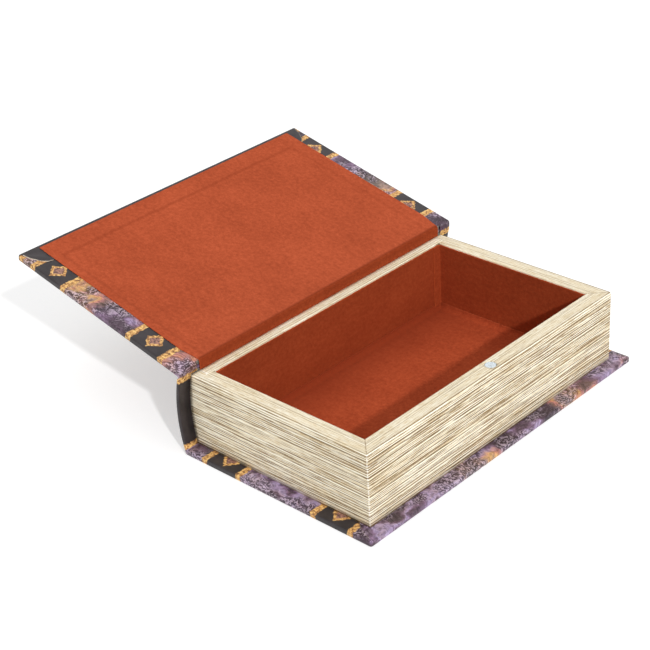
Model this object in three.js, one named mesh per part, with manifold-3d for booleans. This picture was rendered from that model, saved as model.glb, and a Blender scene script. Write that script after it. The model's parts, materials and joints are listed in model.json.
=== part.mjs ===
// Decorative book box: a keepsake box in the form of a bound book, lid open.
//
// Millimetres, +Z up. X runs from the spine (-) to the fore edge (+), Y from the tail (-) to the
// head (+). The origin is the middle of the tray's outline, on the underside of the base cover.
//
// The case is bound like a hardcover: base board, curved spine card and lid board inside one
// printed sheet, with a paper joint along the spine. The tray is a frame of four walls glued on the
// base board. Its outside and rim carry a paper printed as page edges, its inside a suede lining.

import * as THREE from 'three';
import { mergeVertices } from 'three/addons/utils/BufferGeometryUtils.js';
import Module from 'manifold-3d';

const wasm = await Module();
wasm.setup();

// Tray, measured outside its paper
const trayLength = 195;
const trayWidth = 116;
const trayHeight = 40.5;
const wallThickness = 9;
const spineWallThickness = 6;

// Sheet materials
const boardThickness = 2.4;
const spineCardThickness = 1;
const wrapThickness = 0.3;
const pagePaperThickness = 0.3;
const liningThickness = 0.5;

// Case, as it stands out past the tray
const endOverhang = 8.2;
const foreOverhang = 7.7;
const cornerRadius = 1.2;
const turnIn = 15;
const spineBulge = 2.6;
const baseSetback = 0.4;

// Page paper folded over the rim
const rimFoldDepth = 12;
const rimStripSetback = 5;

// Linings
const liningBelowRim = 0.6;
const lidLiningLength = 189.9;
const lidLiningShift = 1.85;
const lidLiningForeInset = 2.3;
const hingeLiningTuck = 10;
const hingeLiningBend = 1.8;

// Hinge: the lid stands open 13.2 degrees above level
const lidOpenAngle = THREE.MathUtils.degToRad(166.8);
const pivotAboveRim = 3.2;
const pivotInset = 0.14;
const jointGap = 1.2;
const spineAboveRim = 0.7;
const spineFootRise = 1.2;

// Closure
const magnetDiameter = 6;
const rimMagnetDepth = 3;
const lidMagnetDepth = 1.6;

// Clearances
const lidClearance = 0.3;
const curveGap = 0.3;
const layerGap = 0.15;
const mitreGap = 0.1;
const magnetGap = 0.1;

// Facets on curves
const spineArcSteps = 10;
const cornerArcSteps = 3;
const magnetSides = 32;

// Planes of the tray, which everything else lines up with
const backX = -trayWidth / 2;
const foreX = trayWidth / 2;
const tailY = -trayLength / 2;
const headY = trayLength / 2;
const boardBottomZ = wrapThickness;
const boardTopZ = boardBottomZ + boardThickness;
const trayZ = boardTopZ + wrapThickness;
const rimZ = trayZ + trayHeight;
const wallTopZ = rimZ - pagePaperThickness;

// Inner faces of the walls
const wallInnerY = headY - pagePaperThickness - wallThickness;
const foreInnerX = foreX - pagePaperThickness - wallThickness;
const spineWallBackX = backX + liningThickness;
const spineInnerX = spineWallBackX + spineWallThickness;

// Inner faces of the page paper folded down inside, which the linings lie on
const foldY = wallInnerY - pagePaperThickness;
const foldForeX = foreInnerX - pagePaperThickness;
const foldSpineX = spineInnerX + pagePaperThickness;
const foldBottomZ = rimZ - rimFoldDepth;
const floorZ = boardTopZ + liningThickness;
const liningTopZ = rimZ - liningBelowRim;

// Outer faces of the case
const caseForeX = foreX + foreOverhang;
const caseEndY = headY + endOverhang;
const baseEdgeX = backX + baseSetback;

// Hinge line and the levels of the closed lid
const pivot = new THREE.Vector2(backX + pivotInset, rimZ + pivotAboveRim);
const lidEdgeX = pivot.x + jointGap;
const lidLiningZ = rimZ + lidClearance;
const lidInsideZ = lidLiningZ + liningThickness + layerGap;
const lidBoardZ = lidInsideZ + wrapThickness + layerGap;
const lidBoardTopZ = lidBoardZ + boardThickness;
const lidTopZ = lidBoardTopZ + layerGap + wrapThickness;
const lidLiningTailY = lidLiningShift - lidLiningLength / 2;
const lidLiningHeadY = lidLiningShift + lidLiningLength / 2;
const magnetX = (foldForeX + foreX) / 2;

// The spine is an arc through the two back edges of the tray, standing out by spineBulge at half
// height. Every layer of the spine is concentric with it.
const spineRadius = ((trayHeight / 2) ** 2 + spineBulge ** 2) / (2 * spineBulge);
const spineCentre = new THREE.Vector2(backX - spineBulge + spineRadius, trayZ + trayHeight / 2);
const cardInner = spineRadius + curveGap;
const cardOuter = cardInner + spineCardThickness;
const wrapInner = cardOuter + layerGap;
const wrapOuter = wrapInner + wrapThickness;
const spineTopZ = rimZ + spineAboveRim;

const finishes = {
  print: { color: 0x4a4350, roughness: 0.42 },
  greyboard: { color: 0x8d857a, roughness: 0.95 },
  fibreboard: { color: 0xa07c55, roughness: 0.9 },
  pages: { color: 0xe2d4b2, roughness: 0.8 },
  suede: { color: 0xb04a28, roughness: 1 },
  magnet: { color: 0xc9ced2, roughness: 0.3, metalness: 0.9 },
};

function solidFrom(geometry) {
  const plain = geometry.clone();
  plain.deleteAttribute('normal');
  plain.deleteAttribute('uv');
  const merged = mergeVertices(plain, 1e-5);
  const vertProperties = new Float32Array(merged.attributes.position.array);
  const triVerts = new Uint32Array(merged.index.array);
  return new wasm.Manifold(new wasm.Mesh({ numProp: 3, vertProperties, triVerts }));
}

function geometryFrom(solid) {
  const { vertProperties, triVerts, numProp } = solid.getMesh();
  const positions = new Float32Array((vertProperties.length / numProp) * 3);
  for (let i = 0; i < positions.length / 3; i += 1) {
    positions.set(vertProperties.subarray(i * numProp, i * numProp + 3), i * 3);
  }
  const geometry = new THREE.BufferGeometry();
  geometry.setAttribute('position', new THREE.BufferAttribute(positions, 3));
  geometry.setIndex(new THREE.BufferAttribute(new Uint32Array(triVerts), 1));
  geometry.computeVertexNormals();
  return geometry;
}

function piece(name, finish, solid) {
  const material = new THREE.MeshStandardMaterial(finishes[finish]);
  const mesh = new THREE.Mesh(geometryFrom(solid), material);
  mesh.name = name;
  return mesh;
}

// A rectangular block between two corners
function block([x0, y0, z0], [x1, y1, z1]) {
  const geometry = new THREE.BoxGeometry(x1 - x0, y1 - y0, z1 - z0);
  geometry.translate((x0 + x1) / 2, (y0 + y1) / 2, (z0 + z1) / 2);
  return solidFrom(geometry);
}

// An outline seen along Y, with X across and Z up, drawn out from y0 to y1
function alongY(shape, y0, y1) {
  const geometry = new THREE.ExtrudeGeometry(shape, {
    depth: y1 - y0,
    bevelEnabled: false,
    curveSegments: spineArcSteps,
  });
  geometry.rotateX(Math.PI / 2);
  geometry.translate(0, y1, 0);
  return solidFrom(geometry);
}

// An outline seen from above, raised from z0 to z1
function upright(shape, z0, z1, steps = cornerArcSteps) {
  const geometry = new THREE.ExtrudeGeometry(shape, {
    depth: z1 - z0,
    bevelEnabled: false,
    curveSegments: steps,
  });
  geometry.translate(0, 0, z0);
  return solidFrom(geometry);
}

function polygon(points) {
  return new THREE.Shape(points.map(([x, y]) => new THREE.Vector2(x, y)));
}

function disc(diameter, x, z0, z1) {
  const geometry = new THREE.CylinderGeometry(diameter / 2, diameter / 2, z1 - z0, magnetSides);
  geometry.rotateX(Math.PI / 2);
  geometry.translate(x, 0, (z0 + z1) / 2);
  return solidFrom(geometry);
}

// A cover slab in plan: square at the joint, its two fore-edge corners rounded
function coverPlan(x0, x1, halfLength, radius) {
  const plan = new THREE.Shape();
  plan.moveTo(x0, -halfLength);
  plan.lineTo(x1 - radius, -halfLength);
  plan.absarc(x1 - radius, radius - halfLength, radius, -Math.PI / 2, 0, false);
  plan.lineTo(x1, halfLength - radius);
  plan.absarc(x1 - radius, halfLength - radius, radius, 0, Math.PI / 2, false);
  plan.lineTo(x0, halfLength);
  plan.closePath();
  return plan;
}

// Direction from the spine's centre to the point of an arc at height z, on the spine side
function spineAngle(radius, z) {
  return Math.PI - Math.asin((z - spineCentre.y) / radius);
}

function spinePoint(radius, z) {
  const angle = spineAngle(radius, z);
  return [spineCentre.x + radius * Math.cos(angle), spineCentre.y + radius * Math.sin(angle)];
}

// A curved layer of the spine between two radii and two heights
function spineBand(inner, outer, z0, z1) {
  const band = new THREE.Shape();
  const { x, y } = spineCentre;
  band.absarc(x, y, outer, spineAngle(outer, z0), spineAngle(outer, z1), true);
  band.absarc(x, y, inner, spineAngle(inner, z1), spineAngle(inner, z0), false);
  band.closePath();
  return band;
}

// An end wall seen along Y: square at the fore edge, its back following the spine
function endWallOutline(x1, z0, z1) {
  const outline = new THREE.Shape();
  const { x, y } = spineCentre;
  outline.moveTo(x1, z0);
  outline.lineTo(x1, z1);
  outline.absarc(x, y, spineRadius, spineAngle(spineRadius, z1), spineAngle(spineRadius, z0), false);
  outline.closePath();
  return outline;
}

// A sheet that wraps a board: its outer face, three edges and the turn-ins on the other face, which
// meet in mitres at the fore-edge corners. The joint side stays open.
function boardWrap({ edgeX, outsideZ, insideZ, gap }) {
  const low = Math.min(outsideZ, insideZ);
  const high = Math.max(outsideZ, insideZ);
  const inward = Math.sign(outsideZ - insideZ);
  const boardX = caseForeX - wrapThickness;
  const boardY = caseEndY - wrapThickness;
  const reach = edgeX - turnIn;
  const shell = upright(coverPlan(edgeX, caseForeX, caseEndY, cornerRadius), low, high);
  const core = upright(
    coverPlan(reach, boardX, boardY, cornerRadius - wrapThickness),
    low + wrapThickness,
    high - wrapThickness,
  );
  const layer = [insideZ - gap * inward, insideZ + wrapThickness * inward].sort((a, b) => a - b);
  const open = block(
    [reach, turnIn - caseEndY, layer[0]],
    [caseForeX - turnIn, caseEndY - turnIn, layer[1]],
  );
  let wrap = shell.subtract(core).subtract(open);
  for (const side of [-1, 1]) {
    wrap = wrap.subtract(mitreSlit(side, layer[0], layer[1]));
  }
  return wrap;
}

// The fine line where two turn-ins meet, from the corner of the board to the corner of the opening
function mitreSlit(side, z0, z1) {
  const half = mitreGap / Math.SQRT2;
  const from = [caseForeX - cornerRadius, caseEndY - cornerRadius];
  const to = [caseForeX - turnIn - 1, caseEndY - turnIn - 1];
  const slit = polygon([
    [from[0] - half, side * (from[1] + half)],
    [from[0] + half, side * (from[1] - half)],
    [to[0] + half, side * (to[1] - half)],
    [to[0] - half, side * (to[1] + half)],
  ]);
  return upright(slit, z0, z1);
}

function baseBoard() {
  const boardX = caseForeX - wrapThickness;
  const boardY = caseEndY - wrapThickness;
  const plan = coverPlan(baseEdgeX, boardX, boardY, cornerRadius - wrapThickness);
  return upright(plan, boardBottomZ, boardTopZ);
}

function baseWrap() {
  return boardWrap({ edgeX: baseEdgeX, outsideZ: 0, insideZ: trayZ, gap: 1 });
}

function spineBoard() {
  const halfLength = caseEndY - wrapThickness - layerGap;
  const foot = spineFootRise + layerGap;
  return alongY(spineBand(cardInner, cardOuter, foot, spineTopZ), -halfLength, halfLength);
}

// The printed sheet over the spine: the curved outer face, the fold under the base board, and the
// turn-ins that show on the inner face past both ends of the tray
function spineWrap() {
  const turnedInner = cardInner - layerGap - wrapThickness;
  const turnedOuter = cardInner - layerGap;
  const footOuter = spinePoint(wrapOuter, spineFootRise);
  const footInner = spinePoint(wrapInner, spineFootRise + wrapThickness);
  const bendX = (footOuter[0] + baseEdgeX) / 2;
  const footFold = polygon([
    footOuter,
    [bendX, 0],
    [baseEdgeX, 0],
    [baseEdgeX, wrapThickness],
    [bendX + wrapThickness / 2, wrapThickness],
    footInner,
  ]);
  const outerFace = spineBand(wrapInner, wrapOuter, spineFootRise, spineTopZ);
  const turnedZ = trayZ + curveGap;
  const turnedFace = spineBand(turnedInner, turnedOuter, turnedZ, spineTopZ);
  const endFace = spineBand(turnedInner, wrapOuter, turnedZ, spineTopZ);
  let wrap = alongY(outerFace, -caseEndY, caseEndY).add(alongY(footFold, -caseEndY, caseEndY));
  for (const side of [-1, 1]) {
    const ends = [side * (headY + curveGap), side * caseEndY].sort((a, b) => a - b);
    const caps = [side * (caseEndY - wrapThickness), side * caseEndY].sort((a, b) => a - b);
    wrap = wrap.add(alongY(turnedFace, ...ends)).add(alongY(endFace, ...caps));
  }
  return wrap;
}

function endWall(side) {
  const faces = [side * (headY - pagePaperThickness), side * wallInnerY].sort((a, b) => a - b);
  return alongY(endWallOutline(foreX - pagePaperThickness, trayZ, wallTopZ), ...faces);
}

function foreEdgeWall() {
  const wall = block([foreInnerX, -wallInnerY, trayZ], [foreX - pagePaperThickness, wallInnerY, wallTopZ]);
  const seat = disc(magnetDiameter + 2 * magnetGap, magnetX, rimZ - rimMagnetDepth, rimZ);
  return wall.subtract(seat);
}

function spineWall() {
  return block([spineWallBackX, -wallInnerY, trayZ], [spineInnerX, wallInnerY, wallTopZ]);
}

// The papers meet at the fore-edge corners in 45 degree mitres, from well inside the wall to past
// its outer edge. This is the room left for an end paper, and the next the room for the fore one.
function endMitre(side) {
  const inside = 2 * wallThickness;
  const shift = mitreGap / Math.SQRT2;
  const room = polygon([
    [foreX - inside - shift, side * (headY - inside)],
    [foreX + 1 - shift, side * (headY + 1)],
    [backX - inside, side * (headY + 1)],
    [backX - inside, side * (headY - inside)],
  ]);
  return upright(room, 0, rimZ + 1);
}

function foreMitre() {
  const inside = 2 * wallThickness;
  const shift = mitreGap / Math.SQRT2;
  const room = polygon([
    [foreX - inside + shift, inside - headY],
    [foreX + 1 + shift, -headY - 1],
    [foreX + 1 + shift, headY + 1],
    [foreX - inside + shift, headY - inside],
  ]);
  return upright(room, 0, rimZ + 1);
}

// Page paper on the tail or head: the side, the rim and a fold down inside
function endPagePaper(side) {
  const outline = endWallOutline(foreX, trayZ, rimZ);
  const faces = [side * headY, side * (headY - pagePaperThickness)].sort((a, b) => a - b);
  const rim = [side * headY, side * foldY].sort((a, b) => a - b);
  const fold = [side * wallInnerY, side * foldY].sort((a, b) => a - b);
  const notch = [side * (headY - rimStripSetback), side * (foldY - 1)].sort((a, b) => a - b);
  return alongY(outline, ...faces)
    .add(block([backX, rim[0], wallTopZ], [foreX, rim[1], rimZ]))
    .add(block([foldSpineX, fold[0], foldBottomZ], [foreX, fold[1], rimZ]))
    .intersect(endMitre(side))
    .subtract(block([backX - 1, notch[0], wallTopZ], [foldSpineX, notch[1], rimZ]));
}

function foreEdgePagePaper() {
  const hole = disc(magnetDiameter + 2 * magnetGap, magnetX, wallTopZ - 1, rimZ + 1);
  return block([foreX - pagePaperThickness, tailY, trayZ], [foreX, headY, rimZ])
    .add(block([foldForeX, tailY, wallTopZ], [foreX, headY, rimZ]))
    .add(block([foldForeX, -wallInnerY, foldBottomZ], [foreInnerX, wallInnerY, rimZ]))
    .intersect(foreMitre())
    .subtract(hole);
}

// The strip on the spine wall's rim laps over both end papers and is cut off square
function spineRimPaper() {
  const end = headY - rimStripSetback;
  return block([spineWallBackX, -end, wallTopZ], [foldSpineX, end, rimZ])
    .add(block([spineInnerX, -wallInnerY, foldBottomZ], [foldSpineX, wallInnerY, rimZ]));
}

function endLining(side) {
  const faces = [side * foldY, side * (foldY - liningThickness)].sort((a, b) => a - b);
  return block(
    [foldSpineX + liningThickness, faces[0], floorZ],
    [foldForeX - liningThickness, faces[1], liningTopZ],
  );
}

function foreEdgeLining() {
  return block([foldForeX - liningThickness, -foldY, floorZ], [foldForeX, foldY, liningTopZ]);
}

function spineLining() {
  return block([foldSpineX, -foldY, floorZ], [foldSpineX + liningThickness, foldY, liningTopZ]);
}

function floorLining() {
  return block([spineInnerX, -wallInnerY, boardTopZ], [foreInnerX, wallInnerY, floorZ]);
}

function rimMagnet() {
  return disc(magnetDiameter, magnetX, rimZ - rimMagnetDepth + magnetGap, rimZ);
}

// The lid is drawn shut, in a group that turns about the hinge line
function lidBoard() {
  const boardX = caseForeX - wrapThickness - layerGap;
  const boardY = caseEndY - wrapThickness - layerGap;
  const plan = coverPlan(lidEdgeX, boardX, boardY, cornerRadius - wrapThickness);
  const seatTop = lidBoardZ + lidMagnetDepth + magnetGap;
  const seat = disc(magnetDiameter + 2 * magnetGap, magnetX, lidBoardZ - 1, seatTop);
  return upright(plan, lidBoardZ, lidBoardTopZ).subtract(seat);
}

function lidWrap() {
  return boardWrap({ edgeX: lidEdgeX, outsideZ: lidTopZ, insideZ: lidInsideZ, gap: 1 });
}

function lidLining() {
  return block(
    [lidEdgeX, lidLiningTailY, lidLiningZ],
    [caseForeX - lidLiningForeInset, lidLiningHeadY, lidLiningZ + liningThickness],
  );
}

function lidMagnet() {
  return disc(magnetDiameter, magnetX, lidBoardZ, lidBoardZ + lidMagnetDepth);
}

// Where a point of the closed lid stands with the lid open, seen along Y
function opened(x, z) {
  const point = new THREE.Vector2(x, z).rotateAround(pivot, lidOpenAngle);
  return [point.x, point.y];
}

// The printed sheet across the joint: one layer from the top of the spine to the lid's outer face,
// and past the lining at both ends the turn-in that covers the edge of the lid board
function hingeWrap() {
  const foot = spineTopZ + layerGap;
  const outerFoot = spinePoint(wrapOuter, foot);
  const innerFoot = spinePoint(wrapInner, foot);
  const outerTop = opened(lidEdgeX - layerGap, lidTopZ);
  const innerTop = opened(lidEdgeX - layerGap, lidTopZ - wrapThickness);
  const corner = opened(lidEdgeX - layerGap - wrapThickness, lidTopZ - wrapThickness);
  const outer = polygon([outerFoot, outerTop, innerTop, corner, innerFoot]);
  const top = opened(lidEdgeX - layerGap, lidInsideZ);
  const topFace = opened(lidEdgeX - layerGap - wrapThickness, lidInsideZ);
  const turned = polygon([innerTop, top, topFace, corner]);
  let wrap = alongY(outer, -caseEndY, caseEndY);
  wrap = wrap.add(alongY(turned, -caseEndY, lidLiningTailY - curveGap));
  wrap = wrap.add(alongY(turned, lidLiningHeadY + curveGap, caseEndY));
  return wrap;
}

// The suede strip that carries on from the lid lining, over the edge of the board and down behind
// the spine wall. Its two faces bend from the line of the lid to the plane of the wall.
function hingeLining() {
  const face = opened(lidEdgeX - layerGap, lidLiningZ);
  const back = opened(lidEdgeX - layerGap, lidLiningZ + liningThickness);
  const bendZ = face[1] - hingeLiningBend;
  const fall = new THREE.Shape();
  fall.moveTo(...back);
  fall.lineTo(...face);
  fall.quadraticCurveTo(spineWallBackX, face[1], spineWallBackX, bendZ);
  fall.lineTo(spineWallBackX, rimZ);
  fall.lineTo(backX, rimZ);
  fall.lineTo(backX, bendZ);
  fall.quadraticCurveTo(backX, back[1], ...back);
  const tuck = block(
    [backX, -wallInnerY, rimZ - hingeLiningTuck],
    [spineWallBackX, wallInnerY, rimZ + liningThickness],
  );
  return alongY(fall, lidLiningTailY, lidLiningHeadY).add(tuck);
}

const bookBox = new THREE.Group();
bookBox.add(
  piece('base_board', 'greyboard', baseBoard()),
  piece('base_wrap', 'print', baseWrap()),
  piece('spine_board', 'greyboard', spineBoard()),
  piece('spine_wrap', 'print', spineWrap()),
  piece('tail_wall', 'fibreboard', endWall(-1)),
  piece('head_wall', 'fibreboard', endWall(1)),
  piece('fore_edge_wall', 'fibreboard', foreEdgeWall()),
  piece('spine_wall', 'fibreboard', spineWall()),
  piece('tail_page_paper', 'pages', endPagePaper(-1)),
  piece('head_page_paper', 'pages', endPagePaper(1)),
  piece('fore_edge_page_paper', 'pages', foreEdgePagePaper()),
  piece('spine_rim_paper', 'pages', spineRimPaper()),
  piece('tail_lining', 'suede', endLining(-1)),
  piece('head_lining', 'suede', endLining(1)),
  piece('fore_edge_lining', 'suede', foreEdgeLining()),
  piece('spine_lining', 'suede', spineLining()),
  piece('floor_lining', 'suede', floorLining()),
  piece('rim_magnet', 'magnet', rimMagnet()),
  piece('hinge_wrap', 'print', hingeWrap()),
  piece('hinge_lining', 'suede', hingeLining()),
);

// The lid group turns about the hinge line; its pieces keep the places they have when shut
const lid = new THREE.Group();
const lidPieces = new THREE.Group();
lid.position.set(pivot.x, 0, pivot.y);
lid.rotation.y = -lidOpenAngle;
lidPieces.position.set(-pivot.x, 0, -pivot.y);
lidPieces.add(
  piece('lid_board', 'greyboard', lidBoard()),
  piece('lid_wrap', 'print', lidWrap()),
  piece('lid_lining', 'suede', lidLining()),
  piece('lid_magnet', 'magnet', lidMagnet()),
);
lid.add(lidPieces);
bookBox.add(lid);

export default bookBox;
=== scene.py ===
# %% [markdown]
# # A decorative book box
#
# This lesson dresses a keepsake box that is made like a bound book. A printed sheet covers the
# boards and the spine, page-edge paper covers the tray, and rust-red suede lines the inside.
#
# The construction comes in as a fixed frame of exact solids. Every finer piece made here takes its
# size and place from that frame, so nothing has to be fitted by eye.

import json
import math

import bmesh
import bpy
import numpy as np
from mathutils import Matrix, Vector


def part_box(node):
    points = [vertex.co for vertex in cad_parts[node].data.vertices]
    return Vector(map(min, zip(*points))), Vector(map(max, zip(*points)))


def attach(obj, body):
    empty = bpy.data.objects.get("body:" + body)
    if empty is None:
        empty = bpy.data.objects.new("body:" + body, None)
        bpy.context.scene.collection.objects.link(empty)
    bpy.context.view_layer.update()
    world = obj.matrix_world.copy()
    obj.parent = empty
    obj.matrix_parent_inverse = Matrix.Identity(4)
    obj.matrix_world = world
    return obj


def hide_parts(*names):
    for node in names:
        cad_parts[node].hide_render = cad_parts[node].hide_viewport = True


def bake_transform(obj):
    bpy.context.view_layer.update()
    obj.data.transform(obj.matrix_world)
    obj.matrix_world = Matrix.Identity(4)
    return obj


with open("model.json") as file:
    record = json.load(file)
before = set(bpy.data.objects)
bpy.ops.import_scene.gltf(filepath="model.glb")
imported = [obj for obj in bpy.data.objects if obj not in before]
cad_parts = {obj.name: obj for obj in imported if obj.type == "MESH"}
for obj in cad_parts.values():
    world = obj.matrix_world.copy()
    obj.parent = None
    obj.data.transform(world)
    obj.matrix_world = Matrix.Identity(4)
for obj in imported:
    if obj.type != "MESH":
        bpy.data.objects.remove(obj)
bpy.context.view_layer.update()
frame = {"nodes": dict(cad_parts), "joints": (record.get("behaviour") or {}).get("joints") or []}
MM = 0.001
print("solids in the frame:", len(frame["nodes"]))

# %% [markdown]
# ## The lid's two positions
#
# The lid turns about one line beside the top of the spine. The frame stands with the lid open, but
# a cover is easiest to think about shut, when it lies level. So the lid's pieces are worked out in
# the shut position and carried to the open one by a single turn, which the hinge itself gives.

# %% Turn between the shut lid and the open lid
hinge = frame["joints"][0]
pivot = Vector(hinge["pos_m"]) / MM
open_angle = math.radians(hinge["range_deg"][1])
SHUT_TO_OPEN = (
    Matrix.Translation(pivot)
    @ Matrix.Rotation(-open_angle, 4, "Y")
    @ Matrix.Translation(-pivot)
)
print("the lid opens by", round(hinge["range_deg"][1], 1), "degrees")


def corners_of(node, shut=False):
    """Lowest and highest corner of a solid in mm, with the lid shut if it belongs to the lid."""
    places = [v.co / MM for v in frame["nodes"][node].data.vertices]
    if shut:
        places = [SHUT_TO_OPEN.inverted() @ p for p in places]
    places = np.array(places)
    return places.min(0), places.max(0)


lid_low, lid_high = corners_of("lid_wrap", shut=True)
print("lid cover when shut, mm:", lid_low.round(2), lid_high.round(2))

# %% [markdown]
# ## Camera
#
# The camera stands where the photograph was taken from: to the right of the fore edge, a little
# above the box. It could be moved by eye until the picture fits, but its place was worked out from
# the corners of the tray, whose real size is known. A long lens keeps the box's edges nearly
# parallel.

# %% Camera at the photograph's viewing angle
IMAGE_WIDTH = 650
SENSOR_MM = 36
FOCAL_PIXELS = 1661.7
CAMERA_PLACE = Vector((485.3, -556.5, 463.5)) * MM
CAMERA_AROUND, CAMERA_UP, CAMERA_TILT = (math.radians(a) for a in (44.34, 29.25, -3.53))
NEAREST, FARTHEST = 0.01, 50


def direction(around, up):
    """The way to a place that is turned around the box and raised above it."""
    return Vector((math.sin(around) * math.cos(up), -math.cos(around) * math.cos(up), math.sin(up)))


def link(obj):
    """Puts an object in the scene."""
    bpy.context.scene.collection.objects.link(obj)
    return obj


back = direction(CAMERA_AROUND, CAMERA_UP)
right = Vector((0, 0, 1)).cross(back).normalized()
up = back.cross(right)
tilted_right = right * math.cos(CAMERA_TILT) + up * math.sin(CAMERA_TILT)
tilted_up = up * math.cos(CAMERA_TILT) - right * math.sin(CAMERA_TILT)

camera_data = bpy.data.cameras.new("camera")
camera_data.sensor_width = SENSOR_MM
camera_data.lens = FOCAL_PIXELS * SENSOR_MM / IMAGE_WIDTH
camera_data.clip_start = NEAREST
camera_data.clip_end = FARTHEST
camera = link(bpy.data.objects.new("camera", camera_data))
camera.matrix_world = Matrix.Translation(CAMERA_PLACE) @ Matrix(
    (tilted_right, tilted_up, back)
).transposed().to_4x4()
bpy.context.scene.camera = camera
bpy.context.scene.view_settings.view_transform = "Standard"
print("lens in mm:", round(camera_data.lens, 2))

# %% [markdown]
# ## Shader nodes in few words
#
# Floor, light and finishes are all drawn by shader nodes. Each node could be made and wired by hand,
# but that takes five lines for every sum. These helpers make a node, set or join its inputs and give
# back what comes out of it, so that a finish reads like a recipe.

# %% Making and joining nodes
def give(tree, node, inputs):
    """Sets the inputs of a node to numbers, or joins them to sockets."""
    for key, value in inputs.items():
        if isinstance(value, bpy.types.NodeSocket):
            tree.links.new(value, node.inputs[key])
        else:
            node.inputs[key].default_value = value


def add(tree, kind, inputs=None, **settings):
    """A new shader node with its settings and its inputs."""
    node = tree.nodes.new("ShaderNode" + kind)
    for key, value in settings.items():
        setattr(node, key, value)
    give(tree, node, inputs or {})
    return node


print("add makes a node, and give sets or joins its inputs")


# %% Numbers and ramps
def sums(tree, operation, a, b=0.0):
    return add(tree, "Math", {0: a, 1: b}, operation=operation).outputs[0]


def plus(tree, a, b):
    return sums(tree, "ADD", a, b)


def minus(tree, a, b):
    return sums(tree, "SUBTRACT", a, b)


def times(tree, a, b):
    return sums(tree, "MULTIPLY", a, b)


def vectors(tree, operation, a, b):
    return add(tree, "VectorMath", {0: a, 1: b}, operation=operation).outputs[0]


def spread(tree, value, limits, to=(0.0, 1.0)):
    """Goes smoothly from one number to another while the value passes between two limits."""
    values = {"Value": value, "From Min": limits[0], "From Max": limits[1], "To Min": to[0], "To Max": to[1]}
    return add(tree, "MapRange", values, interpolation_type="SMOOTHSTEP").outputs["Result"]


print("sums of sockets: plus, minus, times, vectors and spread")


# %% Noise, blends and scales of colour
def noise(tree, vector, size, detail=2.0, roughness=0.5, output="Fac"):
    """Soft random tone with features about size millimetres across."""
    values = {"Vector": vector, "Scale": 1 / size, "Detail": detail, "Roughness": roughness}
    return add(tree, "TexNoise", values).outputs[output]


def srgb(red, green, blue):
    """A colour read as 0 to 255 on a screen, in the linear light that shaders use."""
    values = [v / 255 for v in (red, green, blue)]
    return [v / 12.92 if v <= 0.04045 else ((v + 0.055) / 1.055) ** 2.4 for v in values] + [1.0]


def blended(tree, share, a, b, how="MIX"):
    """Colour a, going to colour b as share goes from 0 to 1."""
    return add(tree, "Mix", {0: share, 6: a, 7: b}, data_type="RGBA", blend_type=how).outputs[2]


def colour_steps(tree, value, stops):
    """Colours along a scale from 0 to 1."""
    ramp = add(tree, "ValToRGB", {"Fac": value})
    elements = ramp.color_ramp.elements
    elements.remove(elements[-1])
    elements[0].position = stops[0][0]
    for place, _ in stops[1:]:
        elements.new(place)
    for element, (_, colour) in zip(elements, stops):
        element.color = srgb(*colour)
    return ramp.outputs["Color"]


print("mid grey of a screen is", round(srgb(128, 128, 128)[0], 3), "in linear light")

# %% [markdown]
# ## Floor
#
# The box stands on plain white, with a soft grey shadow under the raised lid. A white floor alone
# would need so much light that the box turned pale. So the floor is white paint for the light that
# falls on the box, while the camera, gloss and glass see a share of it as plain white. That share
# also keeps the shadow as light as it is in the photograph.

# %% Floor
FLOOR_HALF = 8
FLOOR_SINK = 0.0001
FLOOR_COLOUR = 0.98
FLOOR_GLOW = 0.35
GLOW_STRENGTH = 1.41
FLOOR_CORNERS = ((-1, -1), (1, -1), (1, 1), (-1, 1))


def seen_directly(tree):
    """1 for rays of the camera, of gloss and of glass, and 0 for rays that only carry light."""
    rays = add(tree, "LightPath").outputs
    seen = sums(tree, "MAXIMUM", rays["Is Camera Ray"], rays["Is Glossy Ray"])
    return sums(tree, "MAXIMUM", seen, rays["Is Transmission Ray"])


floor_mesh = bpy.data.meshes.new("floor")
floor_mesh.from_pydata(
    [(x * FLOOR_HALF, y * FLOOR_HALF, -FLOOR_SINK) for x, y in FLOOR_CORNERS], [], [(0, 1, 2, 3)])
link(bpy.data.objects.new("floor", floor_mesh))

floor_finish = bpy.data.materials.new("floor_white")
floor_finish.use_nodes = True
floor_mesh.materials.append(floor_finish)
tree = floor_finish.node_tree
shader = tree.nodes["Principled BSDF"]
give(tree, shader, {"Base Color": (FLOOR_COLOUR,) * 3 + (1,), "Roughness": 1, "Specular IOR Level": 0})
glow = add(tree, "Emission", {"Strength": GLOW_STRENGTH})
share = times(tree, seen_directly(tree), FLOOR_GLOW)
mix = add(tree, "MixShader", {0: share, 1: shader.outputs[0], 2: glow.outputs[0]})
give(tree, tree.nodes["Material Output"], {"Surface": mix.outputs[0]})
print("floor:", 2 * FLOOR_HALF, "m wide")

# %% [markdown]
# ## Light
#
# Most of the light comes from above, as from a large lamp under a white ceiling, and the sides of
# the room add a little. An image of a room would give this too, but here the room's strength simply
# grows with the height that a ray looks at. One sun lamp from the fore-edge side, low enough to look
# in under the rim, draws the shadows in the tray.

# %% Light
SUN_STRENGTH = 1.95
SUN_SOFTNESS, SUN_AROUND, SUN_UP = (math.radians(a) for a in (2.5, 64, 34.3))
ROOM_LIGHT = 0.16
CEILING_LIGHT = 1.06
CEILING_FOCUS = 2
WHITE = (1, 1, 1, 1)

sun_data = bpy.data.lights.new("sun", "SUN")
sun_data.energy = SUN_STRENGTH
sun_data.angle = SUN_SOFTNESS
sun = link(bpy.data.objects.new("sun", sun_data))
sun.rotation_mode = "QUATERNION"
sun.rotation_quaternion = direction(SUN_AROUND, SUN_UP).to_track_quat("Z", "Y")

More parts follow.
